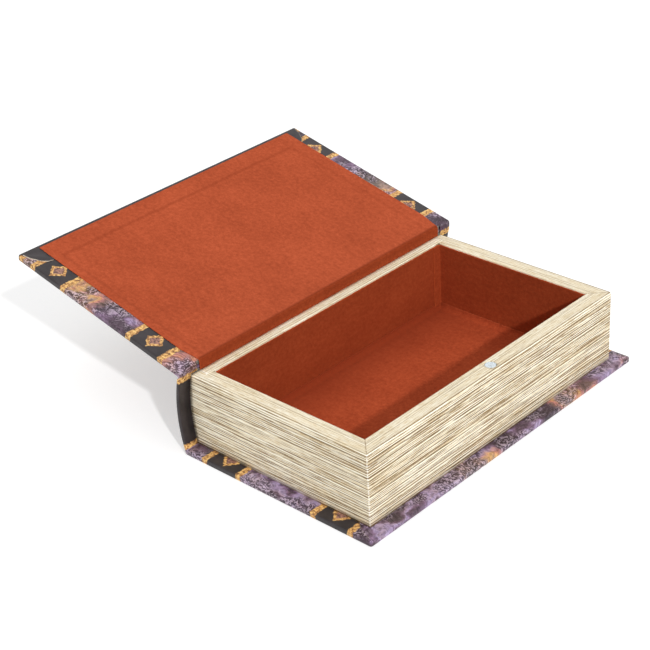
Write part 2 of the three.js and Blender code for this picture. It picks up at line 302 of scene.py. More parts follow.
world = bpy.data.worlds.new("white_room")
bpy.context.scene.world = world
world.use_nodes = True
tree = world.node_tree
height = add(tree, "SeparateXYZ", {"Vector": add(tree, "TexCoord").outputs["Generated"]}).outputs["Z"]
from_above = sums(tree, "POWER", sums(tree, "MAXIMUM", height, 0), CEILING_FOCUS)
lit = plus(tree, times(tree, from_above, CEILING_LIGHT), ROOM_LIGHT)
# What the camera, gloss and glass see of the room is plain white, whatever light it gives.
strength = plus(tree, lit, times(tree, seen_directly(tree), minus(tree, 1, lit)))
give(tree, tree.nodes["Background"], {"Strength": strength, "Color": WHITE})
print("room light at the sides and overhead:", ROOM_LIGHT, round(ROOM_LIGHT + CEILING_LIGHT, 2))

# %% [markdown]
# ## Sheets as grids
#
# Nearly everything that shows on this box is a thin sheet: printed paper, page-edge paper or suede.
# A sheet could be a block with bevelled edges, but then a pattern could not follow its folds. Here a
# sheet is a grid of rows and columns, laid along a folded line and given a thickness afterwards.
# Each point also remembers its place on the flat sheet, which is where the finishes are drawn.

# %% A piece from points and faces
def new_piece(name, places, faces, finish, node, body="tray"):
    """Makes the object in metres from places in mm, and puts it in for a solid of the frame."""
    mesh = bpy.data.meshes.new(name)
    mesh.from_pydata((np.array(places) * MM).tolist(), [], faces)
    mesh.materials.append(finish)
    mesh.shade_smooth()
    piece = link(bpy.data.objects.new(name, mesh))
    if body:
        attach(piece, body)
    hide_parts(node)
    check = bmesh.new()
    check.from_mesh(mesh)
    loose = sum(1 for e in check.edges if len(e.link_faces) != 2)
    print(f"{name}: {len(faces)} faces, {loose} open edges, {check.calc_volume() / MM ** 3:.0f} cubic mm")
    check.free()
    return piece


print("each piece is counted and measured as it is made")


# %% Samples and soft ramps
def samples(low, high, step):
    """Evenly spaced values, about a step apart."""
    return np.linspace(low, high, max(2, round((high - low) / step) + 1))


def smooth(value):
    """0 below 0, 1 above 1, and a soft ramp between them."""
    value = np.clip(value, 0, 1)
    return value * value * (3 - 2 * value)


print("a soft ramp from 0 to 1:", smooth(samples(0, 1, 0.25)))


# %% Patches of a sheet
class Patches:
    """Patches of a sheet in mm: front and back points, and what the finishes read at each point."""

    def __init__(self):
        self.points, self.back, self.flat, self.mark, self.faces = [], [], [], [], []

    def patch(self, points, flat, facing, mark=None, keep=None, back=None):
        """A grid of rows by columns. facing is the way its first row looks."""
        points = np.asarray(points, float)
        rows, columns = points.shape[:2]
        flat = np.asarray(flat, float)
        flat = np.concatenate([flat, np.zeros((rows, columns, 1))], 2)
        mark = np.zeros((rows, columns)) if mark is None else np.asarray(mark, float)
        back = points if back is None else np.asarray(back, float)
        k = columns // 2
        normal = np.cross(points[0, k] - points[0, k - 1], points[1, k - 1] - points[0, k - 1])
        flip = normal @ np.array(facing, float) < 0
        first = len(self.points)
        self.points += list(points.reshape(-1, 3))
        self.back += list(back.reshape(-1, 3))
        self.flat += list(flat.reshape(-1, 3))
        self.mark += list(mark.reshape(-1))
        for i in range(rows - 1):
            for j in range(columns - 1):
                if keep is None or keep(i, j):
                    a = first + i * columns + j
                    face = (a, a + 1, a + 1 + columns, a + columns)
                    self.faces.append(face[::-1] if flip else face)
        return self


print("faces in a patch of 3 rows by 4 columns:",
      len(Patches().patch(np.zeros((3, 4, 3)), np.zeros((3, 4, 2)), (0, 0, 1)).faces))

# %% One sheet with a thickness
WELD = 0.002
TINY = 1e-12


class Sheet(Patches):
    """Patches that are joined into one sheet, which then gets a back and becomes a piece."""

    def welded(self):
        """Points that share a place become one, and faces that shrink to nothing go."""
        keys, order, kept = {}, [], []
        used = {n for face in self.faces for n in face}
        for n, p in enumerate(self.points):
            key = tuple(np.round(p / WELD).astype(int))
            if key not in keys and n in used:
                keys[key] = len(kept)
                kept.append(n)
            order.append(keys.get(key))
        self.points, self.back, self.flat, self.mark = (
            [values[n] for n in kept] for values in (self.points, self.back, self.flat, self.mark))
        joined = (tuple(dict.fromkeys(order[n] for n in face)) for face in self.faces)
        self.faces = [face for face in joined if len(face) > 2]
        return self

    def thickened(self, thickness):
        """Puts the back straight behind the front, along the normals."""
        points = np.array(self.points)
        normals = np.zeros_like(points)
        for face in self.faces:
            a, b, c = points[face[0]], points[face[1]], points[face[-1]]
            normal = np.cross(b - a, c - a)
            normals[list(face)] += normal / max(np.linalg.norm(normal), TINY)
        normals /= np.maximum(np.linalg.norm(normals, axis=1)[:, None], TINY)
        self.back = list(points - normals * thickness)
        return self

    def piece(self, name, finish, slot, node, body="tray", matrix=None):
        """Closes the sheet with its back and its cut edges, and makes the object."""
        edges = {(a, b) for face in self.faces for a, b in zip(face, face[1:] + face[:1])}
        count = len(self.points)
        faces = self.faces + [tuple(n + count for n in face[::-1]) for face in self.faces]
        faces += [(b, a, a + count, b + count) for a, b in edges if (b, a) not in edges]
        places = self.points + self.back
        if matrix is not None:
            places = [matrix @ Vector(p) for p in places]
        piece = new_piece(name, places, faces, finish, node, body)
        for key, kind, field, values in (("flat", "FLOAT_VECTOR", "vector", self.flat),
                                         ("mark", "FLOAT", "value", self.mark)):
            attribute = piece.data.attributes.new(key, kind, "POINT")
            attribute.data.foreach_set(field, np.array(values * 2, np.float32).ravel())
        return piece


print("points closer than", WELD, "mm become one")

# %% [markdown]
# ## Folded lines
#
# Paper folded over a board makes a small round at each fold. Bevels on the finished mesh could make
# it, but they would not say how much paper the fold takes. A folded line is worked out once, from
# its corner points and their radii. The length run along it is the distance on the flat sheet.

# %% Lines with rounded corners
ARC_STEPS = 4
ONE_PIECE = 1000.0


def run_along(line):
    """How far along a line of points each point lies."""
    return np.append(0, np.cumsum(np.linalg.norm(np.diff(line, axis=0), axis=1)))


def folded_line(corners, radii, straight_step=ONE_PIECE):
    """Points and running lengths of a flat line whose corners are rounded."""
    corners = [np.array(c, float) for c in corners]
    points = [corners[0]]
    for corner, before, after, radius in zip(corners[1:], corners, corners[2:], radii):
        before = (before - corner) / np.linalg.norm(before - corner)
        after = (after - corner) / np.linalg.norm(after - corner)
        half = math.acos(np.clip(before @ after, -1, 1)) / 2
        reach = radius / math.tan(half)
        middle = corner + (before + after) / np.linalg.norm(before + after) * (radius / math.sin(half))
        arm, last = corner + before * reach - middle, corner + after * reach - middle
        turn = math.atan2(arm[0] * last[1] - arm[1] * last[0], arm @ last)
        for k in range(ARC_STEPS + 1):
            c, s = math.cos(turn * k / ARC_STEPS), math.sin(turn * k / ARC_STEPS)
            points.append(middle + np.array([c * arm[0] - s * arm[1], s * arm[0] + c * arm[1]]))
    points.append(corners[-1])
    dense = [points[0]]
    for a, b in zip(points, points[1:]):
        count = max(1, round(np.linalg.norm(b - a) / straight_step))
        dense += [a + (b - a) * k / count for k in range(1, count + 1)]
    return np.array(dense), run_along(dense)


print("a square fold with a 1 mm round takes", round(folded_line([(0, 0), (5, 0), (5, 5)], [1])[1][-1], 2),
      "mm of paper where sharp sides take 10")

# %% Smooth curves
CURVE_STEPS = 12


def curve(points, count):
    """A smooth line through a few points, with evenly spaced samples."""
    points = np.array(points, float)
    padded = np.vstack([2 * points[0] - points[1], points, 2 * points[-1] - points[-2]])
    line = []
    for p0, p1, p2, p3 in zip(padded, padded[1:], padded[2:], padded[3:]):
        for t in np.linspace(0, 1, CURVE_STEPS, endpoint=False):
            line.append(0.5 * (2 * p1 + (p2 - p0) * t + (2 * p0 - 5 * p1 + 4 * p2 - p3) * t ** 2
                               + (3 * p1 - p0 - 3 * p2 + p3) * t ** 3))
    line = np.array([*line, points[-1]])
    run = run_along(line)
    even = np.linspace(0, run[-1], count)
    return np.stack([np.interp(even, run, line[:, k]) for k in range(line.shape[1])], 1)


def at_length(along, line, run, slope):
    """The point of a flat line at a length, and the unit vector to the line's left there."""
    a, b, da, db = (np.interp(along, run, values) for values in (*line.T, *slope.T))
    size = math.hypot(da, db)
    return (a, b), (-db / size, da / size)


print("a curve over a bump 1 mm high:", curve([(0, 0), (2, 1), (4, 0)], 5).round(2).tolist())

# %% [markdown]
# ## Finishes from the place on the sheet
#
# An image would be the quick way to a print, but nodes can draw it too, and then it is sharp at any
# distance. Each finish starts from the place on the flat sheet that the mesh remembers, in
# millimetres, so a noise of size 20 has features about 20 mm across.

# %% Starting a finish
def new_finish(name):
    """A material, its node tree, its shader, and the place on the flat sheet."""
    finish = bpy.data.materials.new(name)
    finish.use_nodes = True
    tree = finish.node_tree
    place = add(tree, "Attribute", attribute_name="flat").outputs["Vector"]
    return finish, tree, tree.nodes["Principled BSDF"], place


def marked(tree, above=True):
    """Where the mesh marks a place. A mark above 0 and one below 0 mean different things."""
    mark = add(tree, "Attribute", attribute_name="mark").outputs["Fac"]
    return sums(tree, "MAXIMUM", mark if above else times(tree, mark, -1), 0)


def drawn_out(tree, place, share):
    """Shortens the first distance of a place, which draws a pattern out along the sheet."""
    return vectors(tree, "MULTIPLY", place, (share, 1, 1))


def relief(tree, height, depth_mm, strength=1.0):
    """Shape that is too fine for the mesh, as a tilt of the surface."""
    values = {"Height": height, "Distance": depth_mm * MM, "Strength": strength}
    return add(tree, "Bump", values).outputs["Normal"]


# Besides wear, seams and raw edges, the mark also carries the suede's painted shade, below 0, and the
# painted highlight on its cut edges.
print("a finish reads two things from its sheet: its place as flat, and its wear as mark")

# %% [markdown]
# ## Printed paper: the marbling
#
# The cover is a satin print in the manner of old marbled stone: plum, lavender and dusty pink with
# tan and gold. The marbling is a noise that is pushed about by another noise before it picks colours
# from a scale, which is how real marbling is dragged with a comb. In places it breaks up into a
# fine crackle of dark and pale specks about a millimetre across.

# %% Marbling
COOL = (
    (0.0, (60, 44, 54)), (0.2, (98, 74, 92)), (0.36, (146, 116, 148)), (0.5, (188, 168, 206)),
    (0.62, (192, 168, 192)), (0.74, (124, 94, 114)), (0.88, (92, 76, 80)), (1.0, (60, 46, 52)),
)
WARM = (
    (0.0, (78, 62, 56)), (0.2, (146, 112, 96)), (0.36, (206, 138, 130)), (0.5, (224, 152, 118)),
    (0.62, (234, 184, 116)), (0.74, (200, 160, 140)), (0.88, (140, 122, 108)), (1.0, (92, 76, 70)),
)
COMBED = ((0.3, (150, 142, 148)), (0.62, (255, 255, 255)))
SWIRL_SIZE, SWIRL = 24, 26
RIPPLE_SIZE, RIPPLE = 3.5, 4
TONE_SIZE, TONE_LIMITS = 24, (0.3, 0.7)
WARM_SIZE, WARM_LIMITS = 46, (0.5, 0.56)
COMB_SIZE, COMB_PULL = 1.6, (0.35, 1.5, 1)
SPECK_SIZE, SPECK_LIMITS = 1.35, (0.48, 0.57)
SPECK_DARK, SPECK_PALE = (44, 28, 38), (222, 202, 220)
DARK_SHARE, PALE_SHARE = 0.92, 0.55
BROKEN_SIZE, BROKEN_LIMITS, BROKEN = 16, (0.43, 0.54), (0.12, 0.9)


def push(tree, place, size, detail, reach):
    """A noise that says how far to move each place, up to reach millimetres."""
    return vectors(tree, "MULTIPLY", noise(tree, place, size, detail, output="Color"), (reach,) * 3)


def marbling(tree, place):
    swirled = vectors(tree, "ADD", place, push(tree, place, SWIRL_SIZE, 2, SWIRL))
    pushed = vectors(tree, "ADD", swirled, push(tree, place, RIPPLE_SIZE, 3, RIPPLE))
    tone = spread(tree, noise(tree, pushed, TONE_SIZE, 3), TONE_LIMITS)
    warm = spread(tree, noise(tree, pushed, WARM_SIZE), WARM_LIMITS)
    colour = blended(tree, warm, colour_steps(tree, tone, COOL), colour_steps(tree, tone, WARM))
    combed = noise(tree, vectors(tree, "MULTIPLY", pushed, COMB_PULL), COMB_SIZE, 3, 0.6)
    colour = blended(tree, 1.0, colour, colour_steps(tree, combed, COMBED), "MULTIPLY")
    specks = spread(tree, noise(tree, pushed, SPECK_SIZE, 3, 0.7), SPECK_LIMITS)
    crackle = blended(tree, specks, blended(tree, DARK_SHARE, colour, srgb(*SPECK_DARK)),
                      blended(tree, PALE_SHARE, colour, srgb(*SPECK_PALE)))
    broken = spread(tree, noise(tree, place, BROKEN_SIZE), BROKEN_LIMITS, BROKEN)
    return blended(tree, broken, colour, crackle)


print("colours of the marbling:", len(COOL), "cool and", len(WARM), "warm")

# %% [markdown]
# ## Printed paper: bars and lozenges
#
# Charcoal bars with ragged gold borders cross the marbling: a wide one down the spine, one where
# the lid's fore edge is turned in, and narrow ones on each cover with a row of lozenges. The design
# is a generic one. A bar is only a limit on the distance from its middle, so a little noise added
# to that distance frays its edge. A lozenge is a limit on the sum of two distances.

# %% Sizes and colours of the bars
BAR_PITCH = 74
BAR_WIDTH = 27
BAR_START = 36
SPINE_BAR_HALF = 21.5
FORE_BAND = 143
BORDER = 4
LOZENGE_ROW = 116
LOZENGE_PITCH = LOZENGE_ROW / 7
LOZENGE_HALF = (5.4, 6.2)
LOZENGE_LIMITS, HEART_LIMITS = (1.36, 1.24), (0.98, 0.86)
FRAY_SIZE, FRAY = 2.6, 2.6
LOZENGE_FRAY_SIZE, LOZENGE_FRAY = 1.9, 0.6
BAR_EDGE = BAR_WIDTH / 2 + 1.6
BAR_LIMITS = (BAR_EDGE, BAR_EDGE - 0.4)
BORDER_LIMITS = (BAR_EDGE - BORDER, BAR_EDGE - BORDER + 0.5)
GOLD = ((0.36, (96, 66, 48)), (0.47, (194, 138, 80)), (0.6, (244, 202, 128)))
HEART = ((0.38, (70, 50, 54)), (0.6, (180, 132, 114)))
CHARCOAL = ((0.3, (42, 37, 39)), (0.7, (58, 51, 53)))
MOTTLE_SIZE, CHARCOAL_SIZE = 1.6, 9
print("bars from the spine, mm:", [BAR_START + k * BAR_PITCH for k in range(2)])


# %% Where the bars and the lozenges lie
def from_nearest(tree, value, first, pitch):
    """Distance to the nearest of a row of evenly spaced lines."""
    past = sums(tree, "FLOORED_MODULO", minus(tree, value, first - pitch / 2), pitch)
    return sums(tree, "ABSOLUTE", minus(tree, past, pitch / 2))


def bars_and_lozenges(tree, place):
    """How strongly the bars, their borders, the lozenges and the lozenges' hearts show."""
    sides = add(tree, "SeparateXYZ", {"Vector": place}).outputs
    side = sums(tree, "ABSOLUTE", sides["X"])
    from_middle = from_nearest(tree, side, BAR_START + BAR_WIDTH / 2, BAR_PITCH)
    from_spine = minus(tree, side, SPINE_BAR_HALF - BAR_WIDTH / 2)
    from_fore = minus(tree, FORE_BAND + BAR_WIDTH / 2, sides["X"])
    nearest = sums(tree, "MINIMUM", sums(tree, "MINIMUM", from_middle, from_spine), from_fore)
    frayed = plus(tree, nearest, times(tree, noise(tree, place, FRAY_SIZE, 4, 0.7), FRAY))
    bar = spread(tree, frayed, BAR_LIMITS)
    border = times(tree, bar, spread(tree, frayed, BORDER_LIMITS))

    from_row = from_nearest(tree, sums(tree, "ABSOLUTE", sides["Y"]), LOZENGE_ROW, LOZENGE_PITCH)
    reach = plus(tree, sums(tree, "DIVIDE", from_middle, LOZENGE_HALF[0]),
                 sums(tree, "DIVIDE", from_row, LOZENGE_HALF[1]))
    ragged = times(tree, noise(tree, place, LOZENGE_FRAY_SIZE, 4, 0.7), LOZENGE_FRAY)
    reach = plus(tree, reach, ragged)
    lozenge = times(tree, spread(tree, reach, LOZENGE_LIMITS), bar)
    return bar, border, lozenge, spread(tree, reach, HEART_LIMITS)


print("lozenges are", round(LOZENGE_PITCH, 1), "mm apart")

# %% The print
RAW_SIZE, RAW_LIMITS, RAW_PAPER = 0.8, (0.3, 0.45), (238, 222, 200)
SATIN_SIZE, SATIN_LIMITS, SATIN = 6, (0.3, 0.7), (0.36, 0.5)
PRINT_GRAIN, PRINT_DEPTH = 0.7, 0.012


def printed_paper():
    finish, tree, shader, place = new_finish("printed_paper")
    bar, border, lozenge, heart = bars_and_lozenges(tree, place)
    mottle = noise(tree, place, MOTTLE_SIZE, 3, 0.65)
    gold = colour_steps(tree, mottle, GOLD)
    charcoal = colour_steps(tree, noise(tree, place, CHARCOAL_SIZE, 4, 0.6), CHARCOAL)
    colour = blended(tree, bar, marbling(tree, place), charcoal)
    colour = blended(tree, lozenge, colour, blended(tree, heart, gold, colour_steps(tree, mottle, HEART)))
    colour = blended(tree, border, colour, gold)
    raw = times(tree, marked(tree), spread(tree, noise(tree, place, RAW_SIZE), RAW_LIMITS))
    give(tree, shader, {
        "Base Color": blended(tree, raw, colour, srgb(*RAW_PAPER)),
        "Roughness": spread(tree, noise(tree, place, SATIN_SIZE, 3), SATIN_LIMITS, SATIN),
        "Specular IOR Level": 0.35,
        "Normal": relief(tree, noise(tree, place, PRINT_GRAIN), PRINT_DEPTH),
    })
    return finish


PRINT = printed_paper()
print(PRINT.name, "has", len(PRINT.node_tree.nodes), "nodes")

# %% [markdown]
# ## Page-edge paper
#
# The tray's sides are meant to look like the edges of many leaves: a cream paper printed with long,
# thin brown lines, some strong and many faint. Plain stripes would look ruled, and noise alone looks
# like wood. Here each line has its own number, and from it its own strength and its own breaks.

# %% Lines of the leaves
# Each kind of line: pitch in mm, offset in pitches, width in mm, colour, and where its numbers start.
LINES = (
    (1.5, 0.5, 0.3, (255, 250, 232), 67.0),
    (1.5, 0.0, 0.26, (144, 116, 74), 31.0),
    (0.97, 0.2, 0.12, (158, 132, 90), 11.0),
    (2.2, 0.7, 0.15, (106, 78, 44), 0.0),
)
LINE_LENGTH = 26
ROW_GAP = 7.3
OWN_STRENGTH = 0.2
STRENGTH_LIMITS = (0.42, 0.72)
LINE_BLUR = 0.1


def page_lines(tree, across, along, pitch, offset, width, seed):
    """How strongly a line of one kind shows at a place: 0 on bare paper to 1 in the line."""
    place = plus(tree, sums(tree, "DIVIDE", across, pitch), offset)
    number = plus(tree, sums(tree, "FLOOR", place), seed)
    middle = sums(tree, "ABSOLUTE", minus(tree, sums(tree, "FRACT", place), 0.5))
    own = add(tree, "TexWhiteNoise", {"W": number}, noise_dimensions="1D").outputs["Value"]
    row = {"X": sums(tree, "DIVIDE", along, LINE_LENGTH), "Y": times(tree, number, ROW_GAP)}
    breaks = noise(tree, add(tree, "CombineXYZ", row).outputs["Vector"], 1, 3, 0.6)
    strength = spread(tree, plus(tree, breaks, times(tree, own, OWN_STRENGTH)), STRENGTH_LIMITS)
    edge = minus(tree, middle, times(tree, strength, width / pitch))
    return times(tree, spread(tree, edge, (LINE_BLUR / pitch, 0.0)), strength)


print("pitches of the kinds of line, mm:", [kind[0] for kind in LINES])

# %% The paper
CREAM = ((0.3, (241, 228, 198)), (0.5, (249, 239, 214)), (0.7, (254, 248, 230)))
FIBRES = ((0.36, (230, 217, 196)), (0.56, (255, 255, 255)))
LONG, LONGER, LONGEST = 0.2, 0.12, 0.08
PATCH_SIZE, FIBRE_SIZE = 5, 0.34
WANDERS = ((7, 0.6), (1.5, 0.1))
RIM_LIMITS, RUBBED = (40, 41.5), 0.42
# Worn spots, then seams: whether their mark is above 0, their size, detail, limits and colour.
SPOTS = (
    (True, 1.1, 3, (0.42, 0.58), (252, 248, 240)),
    (False, 2.1, 2, (0.3, 0.6), (150, 120, 84)),
)


def page_paper(name, ink_and_painted_shade):
    finish, tree, shader, place = new_finish(name)
    sides = add(tree, "SeparateXYZ", {"Vector": place}).outputs
    across = sides["Y"]
    for size, reach in WANDERS:
        across = plus(tree, across, times(tree, noise(tree, drawn_out(tree, place, LONGER), size), reach))
    fibres = noise(tree, drawn_out(tree, place, LONGEST), FIBRE_SIZE, 2, 0.6)
    patches = noise(tree, drawn_out(tree, place, LONG), PATCH_SIZE, 3, 0.6)
    colour = blended(tree, 1.0, colour_steps(tree, patches, CREAM),
                     colour_steps(tree, fibres, FIBRES), "MULTIPLY")
    # On the rim the lines are rubbed away by hands.
    left = spread(tree, sides["Y"], RIM_LIMITS, (ink_and_painted_shade, RUBBED))
    for pitch, offset, width, tone, seed in LINES:
        ink = times(tree, page_lines(tree, across, sides["X"], pitch, offset, width, seed), left)
        colour = blended(tree, ink, colour, srgb(*tone))
    for above, size, detail, limits, tone in SPOTS:
        spots = times(tree, marked(tree, above), spread(tree, noise(tree, place, size, detail), limits))
        colour = blended(tree, spots, colour, srgb(*tone))
    give(tree, shader, {"Base Color": colour, "Roughness": 0.72, "Specular IOR Level": 0.2,
                        "Normal": relief(tree, fibres, 0.03, 0.6)})
    return finish


# The fore edge takes more light, so its paper carries more ink: partly a denser print, and partly
# painted shade that evens out the extra light.
PAGES = page_paper("page_paper", 1.02)
PAGES_FORE_PAINTED_SHADE = page_paper("page_paper_fore_edge_painted_shade", 1.5)
print("kinds of line on", PAGES.name, "and", PAGES_FORE_PAINTED_SHADE.name + ":", len(LINES))

# %% [markdown]
# ## Suede
#
# The lining is a rust-red suede with a very short nap. It has no gloss. The nap lies a little
# differently from place to place, which gives soft clouds of tone under a fine grain, and it catches
# light at a grazing angle, which is what the sheen of the shader is for. The suede comes in three
# copies that differ only in painted light and shade: lightest on the lid, a little darker on the
# tray's floor, and darkest, as painted shade, on the walls and in the joint.

# %% Suede
CLOUD_SIZE, CLOUD_WEIGHT = 34, 0.26
BRUSH_SIZE, BRUSH_WEIGHT, BRUSH_LENGTH = 5, 0.16, 0.5
NAP_SIZE, NAP_WEIGHT = 2.2, 0.58
NAP_ROUGHNESS = 0.85
TONE_PLACES = (0.38, 0.5, 0.62)
# Cut edges are paler: frayed fibres, with a painted highlight of the light that they catch.
FUZZ_AND_HIGHLIGHT_TONE, FUZZ_AND_HIGHLIGHT_SHARE = (206, 96, 52), 0.3
# How much of the dark tone is kept, colour by colour, where painted shade darkens the suede.
PAINTED_SHADE_TINT = (0.86, 0.81, 0.76)
SHEEN = (226, 140, 100)


def suede(name, dark, middle, light):
    finish, tree, shader, place = new_finish(name)
    clouds = noise(tree, place, CLOUD_SIZE, 3)
    brushed = noise(tree, drawn_out(tree, place, BRUSH_LENGTH), BRUSH_SIZE, 3, 0.6)
    nap = noise(tree, place, NAP_SIZE, 3, NAP_ROUGHNESS)
    tone = plus(tree, times(tree, clouds, CLOUD_WEIGHT), times(tree, brushed, BRUSH_WEIGHT))
    tone = plus(tree, tone, times(tree, nap, NAP_WEIGHT))
    colour = colour_steps(tree, tone, tuple(zip(TONE_PLACES, (dark, middle, light))))
    colour = blended(tree, times(tree, marked(tree), FUZZ_AND_HIGHLIGHT_SHARE), colour, srgb(*FUZZ_AND_HIGHLIGHT_TONE))
    # Below 0 the mark darkens the suede as painted shade.
    painted_shade = srgb(*(v * share for v, share in zip(dark, PAINTED_SHADE_TINT)))
    give(tree, shader, {
        "Base Color": blended(tree, marked(tree, above=False), colour, painted_shade),
        "Roughness": 1.0,
        "Specular IOR Level": 0.05,
        "Sheen Weight": 0.12,
        "Sheen Roughness": 0.5,
        "Sheen Tint": srgb(*SHEEN),
        "Normal": relief(tree, nap, 0.1, 0.5),
    })
    return finish


# One suede in three copies of painted light: lit on the lid, half in painted shade on the floor, and in
# painted shade on the walls and the joint.
SUEDE_LIT = suede("suede_lit", (157, 69, 42), (174, 79, 49), (190, 89, 57))
SUEDE_HALF_SHADED = suede("suede_half_shaded", (149, 60, 33), (165, 70, 40), (180, 80, 47))
SUEDE_PAINTED_SHADE = suede("suede_painted_shade", (140, 56, 28), (154, 65, 34), (167, 74, 41))
print("tones of suede:", [m.name for m in (SUEDE_LIT, SUEDE_HALF_SHADED, SUEDE_PAINTED_SHADE)])

# %% [markdown]
# ## Board, fibreboard and metal
#
# The grey board in the covers and the fibreboard walls hardly show, but they are finished too. Both
# are pressed fibre: one grey with dark and light specks, one brown. They take their pattern from
# their own place in space, because solids have no flat sheet. The magnet is plated and bright.

# %% Board, fibreboard and metal
FIBRE_PLACES = (0.3, 0.7)
PLATING = ((0.35, (196, 208, 214)), (0.6, (232, 240, 244)))
SCUFF_SIZE, SCUFF_PULL = 1.2, (1, 4, 1)
SCUFF_LIMITS, SCUFF_SHINE = (0.3, 0.7), (0.22, 0.42)


def place_in_space(tree):
    """A place on a solid, in millimetres."""
    return vectors(tree, "DIVIDE", add(tree, "TexCoord").outputs["Object"], (MM,) * 3)


def pressed_fibre(name, dark, light, fibre_mm):
    finish, tree, shader, _ = new_finish(name)
    fibres = noise(tree, place_in_space(tree), fibre_mm, 4, 0.7)
    give(tree, shader, {
        "Base Color": colour_steps(tree, fibres, tuple(zip(FIBRE_PLACES, (dark, light)))),
        "Roughness": 0.9,
        "Specular IOR Level": 0.2,
        "Normal": relief(tree, fibres, 0.06),
    })
    return finish


def plated_metal():
    finish, tree, shader, _ = new_finish("plated_metal")
    scuffs = noise(tree, vectors(tree, "MULTIPLY", place_in_space(tree), SCUFF_PULL), SCUFF_SIZE, 3)
    give(tree, shader, {
        "Base Color": colour_steps(tree, scuffs, PLATING),
        "Roughness": spread(tree, scuffs, SCUFF_LIMITS, SCUFF_SHINE),
        "Metallic": 0.9,
    })
    return finish


GREYBOARD = pressed_fibre("greyboard", (112, 108, 102), (160, 154, 146), 0.9)
FIBREBOARD = pressed_fibre("fibreboard", (122, 92, 62), (176, 140, 100), 0.7)
METAL = plated_metal()
print("finishes:", [m.name for m in bpy.data.materials])

# %% [markdown]
# ## The cover sheets
#
# A bookbinder glues the printed sheet to the outside of the board, folds it over three edges and
# glues 15 mm down inside. The ends are turned in first, then the fore edge over them, so that its
# raw edge shows at each corner. A flat picture of such corners would do from afar. The sheet is
# built in the binder's order instead: the face, a band that goes round the board's edge, and three
# turn-ins.

# %% The grid of a cover
FORE_X = float(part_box("base_wrap")[1][0]) / MM
END_Y = float(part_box("base_wrap")[1][1]) / MM
CORNER, CORNER_STEPS = 1.2, 4
INNER_X, INNER_Y = FORE_X - CORNER, END_Y - CORNER
FOLD = 0.6
PAPER = 0.22
SPINE_HALF = 25.2
FACE_STEP, PAST_END = 5, 9
NEAR_END = np.array((0, 0.2, 0.5, 0.9, 1.4, 2, 2.8, 3.8, 5, 7))
COVER_YS = np.concatenate([
    NEAR_END - INNER_Y, samples(PAST_END - INNER_Y, INNER_Y - PAST_END, FACE_STEP),
    INNER_Y - NEAR_END[::-1]])
print("cover, mm: fore edge at", round(FORE_X, 1), "and ends at", round(END_Y, 1))


class Cover:
    """A cover sheet in the making. side is 1 for the lid, drawn shut, and -1 for the base, which
    lies on the other side of the spine on the flat sheet."""

    def __init__(self, edge_x, outside, inside, side):
        self.sheet, self.edge_x, self.side = Sheet(), edge_x, side
        self.outside, self.inside = outside, inside
        self.depth, self.toward = abs(inside - outside), np.sign(inside - outside)
        self.xs = samples(edge_x, INNER_X, FACE_STEP)

    def flat(self, x, y):
        """The place on the flat sheet, whose middle is the middle of the spine."""
        return [self.side * (SPINE_HALF + x - self.edge_x), y]


# %% The face, and the band round the board's edge
def cover_outline(xs):
    """Round the three open sides: a point inside the edge, and the way out from it."""
    outline = [((x, -INNER_Y), (0, -1)) for x in xs[:-1]]
    for corner_y, first in ((-INNER_Y, -90), (INNER_Y, 0)):
        for k in range(CORNER_STEPS + 1):
            turn = math.radians(first + 90 * k / CORNER_STEPS)
            outline.append(((INNER_X, corner_y), (math.cos(turn), math.sin(turn))))
        if corner_y < 0:
            outline += [((INNER_X, y), (1, 0)) for y in COVER_YS[1:-1]]
    return outline + [((x, INNER_Y), (0, 1)) for x in xs[-2::-1]]


def add_face_and_band(cover):
    """Gives back the width of the band, measured on the flat sheet."""
    outward = (0, 0, -cover.toward)
    cover.sheet.patch([[(x, y, cover.outside) for y in COVER_YS] for x in cover.xs],
                      [[cover.flat(x, y) for y in COVER_YS] for x in cover.xs], outward)
    outline = cover_outline(cover.xs)
    profile, run = folded_line(
        [(0, 0), (CORNER, 0), (CORNER, cover.depth), (0, cover.depth)], [FOLD, FOLD])
    cover.sheet.patch(
        [[(px + nx * out, py + ny * out, cover.outside + cover.toward * down)
          for (px, py), (nx, ny) in outline] for out, down in profile],
        [[cover.flat(px + nx * length, py + ny * length) for (px, py), (nx, ny) in outline]
         for length in run], outward)
    return run[-1]


print("points round a cover's three open sides:", len(cover_outline(samples(0, INNER_X, FACE_STEP))))

# %% The turn-ins
TURN_IN, END_TURN_IN = 15, 18
INSETS = (1.2, 1.8, 2.6, 3.8, 5.2, 6.6, 8, 9.4, 10.8, 12, 13, 13.8, 14.4, 14.8, TURN_IN)
# The flap of the fore edge narrows inwards: distance from the fore edge, and from the cover's end.
FLAP_EDGE = ((1.2, 6.4, 12, 14.3, 15), (1.2, 2.4, 5.7, 8.3, 11.2))
FLAP_LIFT, FLAP_RISE = 0.27, 1.2
LIP, LIP_WIDTH = 0.08, 0.6
RAW_EDGE = 0.7


def add_end_turn_ins(cover, band):
    for end in (-1, 1):
        points, flat = [], []
        for inset in (*INSETS, END_TURN_IN):
            row = cover.edge_x + (cover.xs - cover.edge_x) * (FORE_X - inset - cover.edge_x) / (
                INNER_X - cover.edge_x)
            points.append([(x, end * (END_Y - inset), cover.inside) for x in row])
            flat.append([cover.flat(x, end * (INNER_Y + band + inset - CORNER)) for x in row])
        cover.sheet.patch(points, flat, (0, 0, cover.toward))


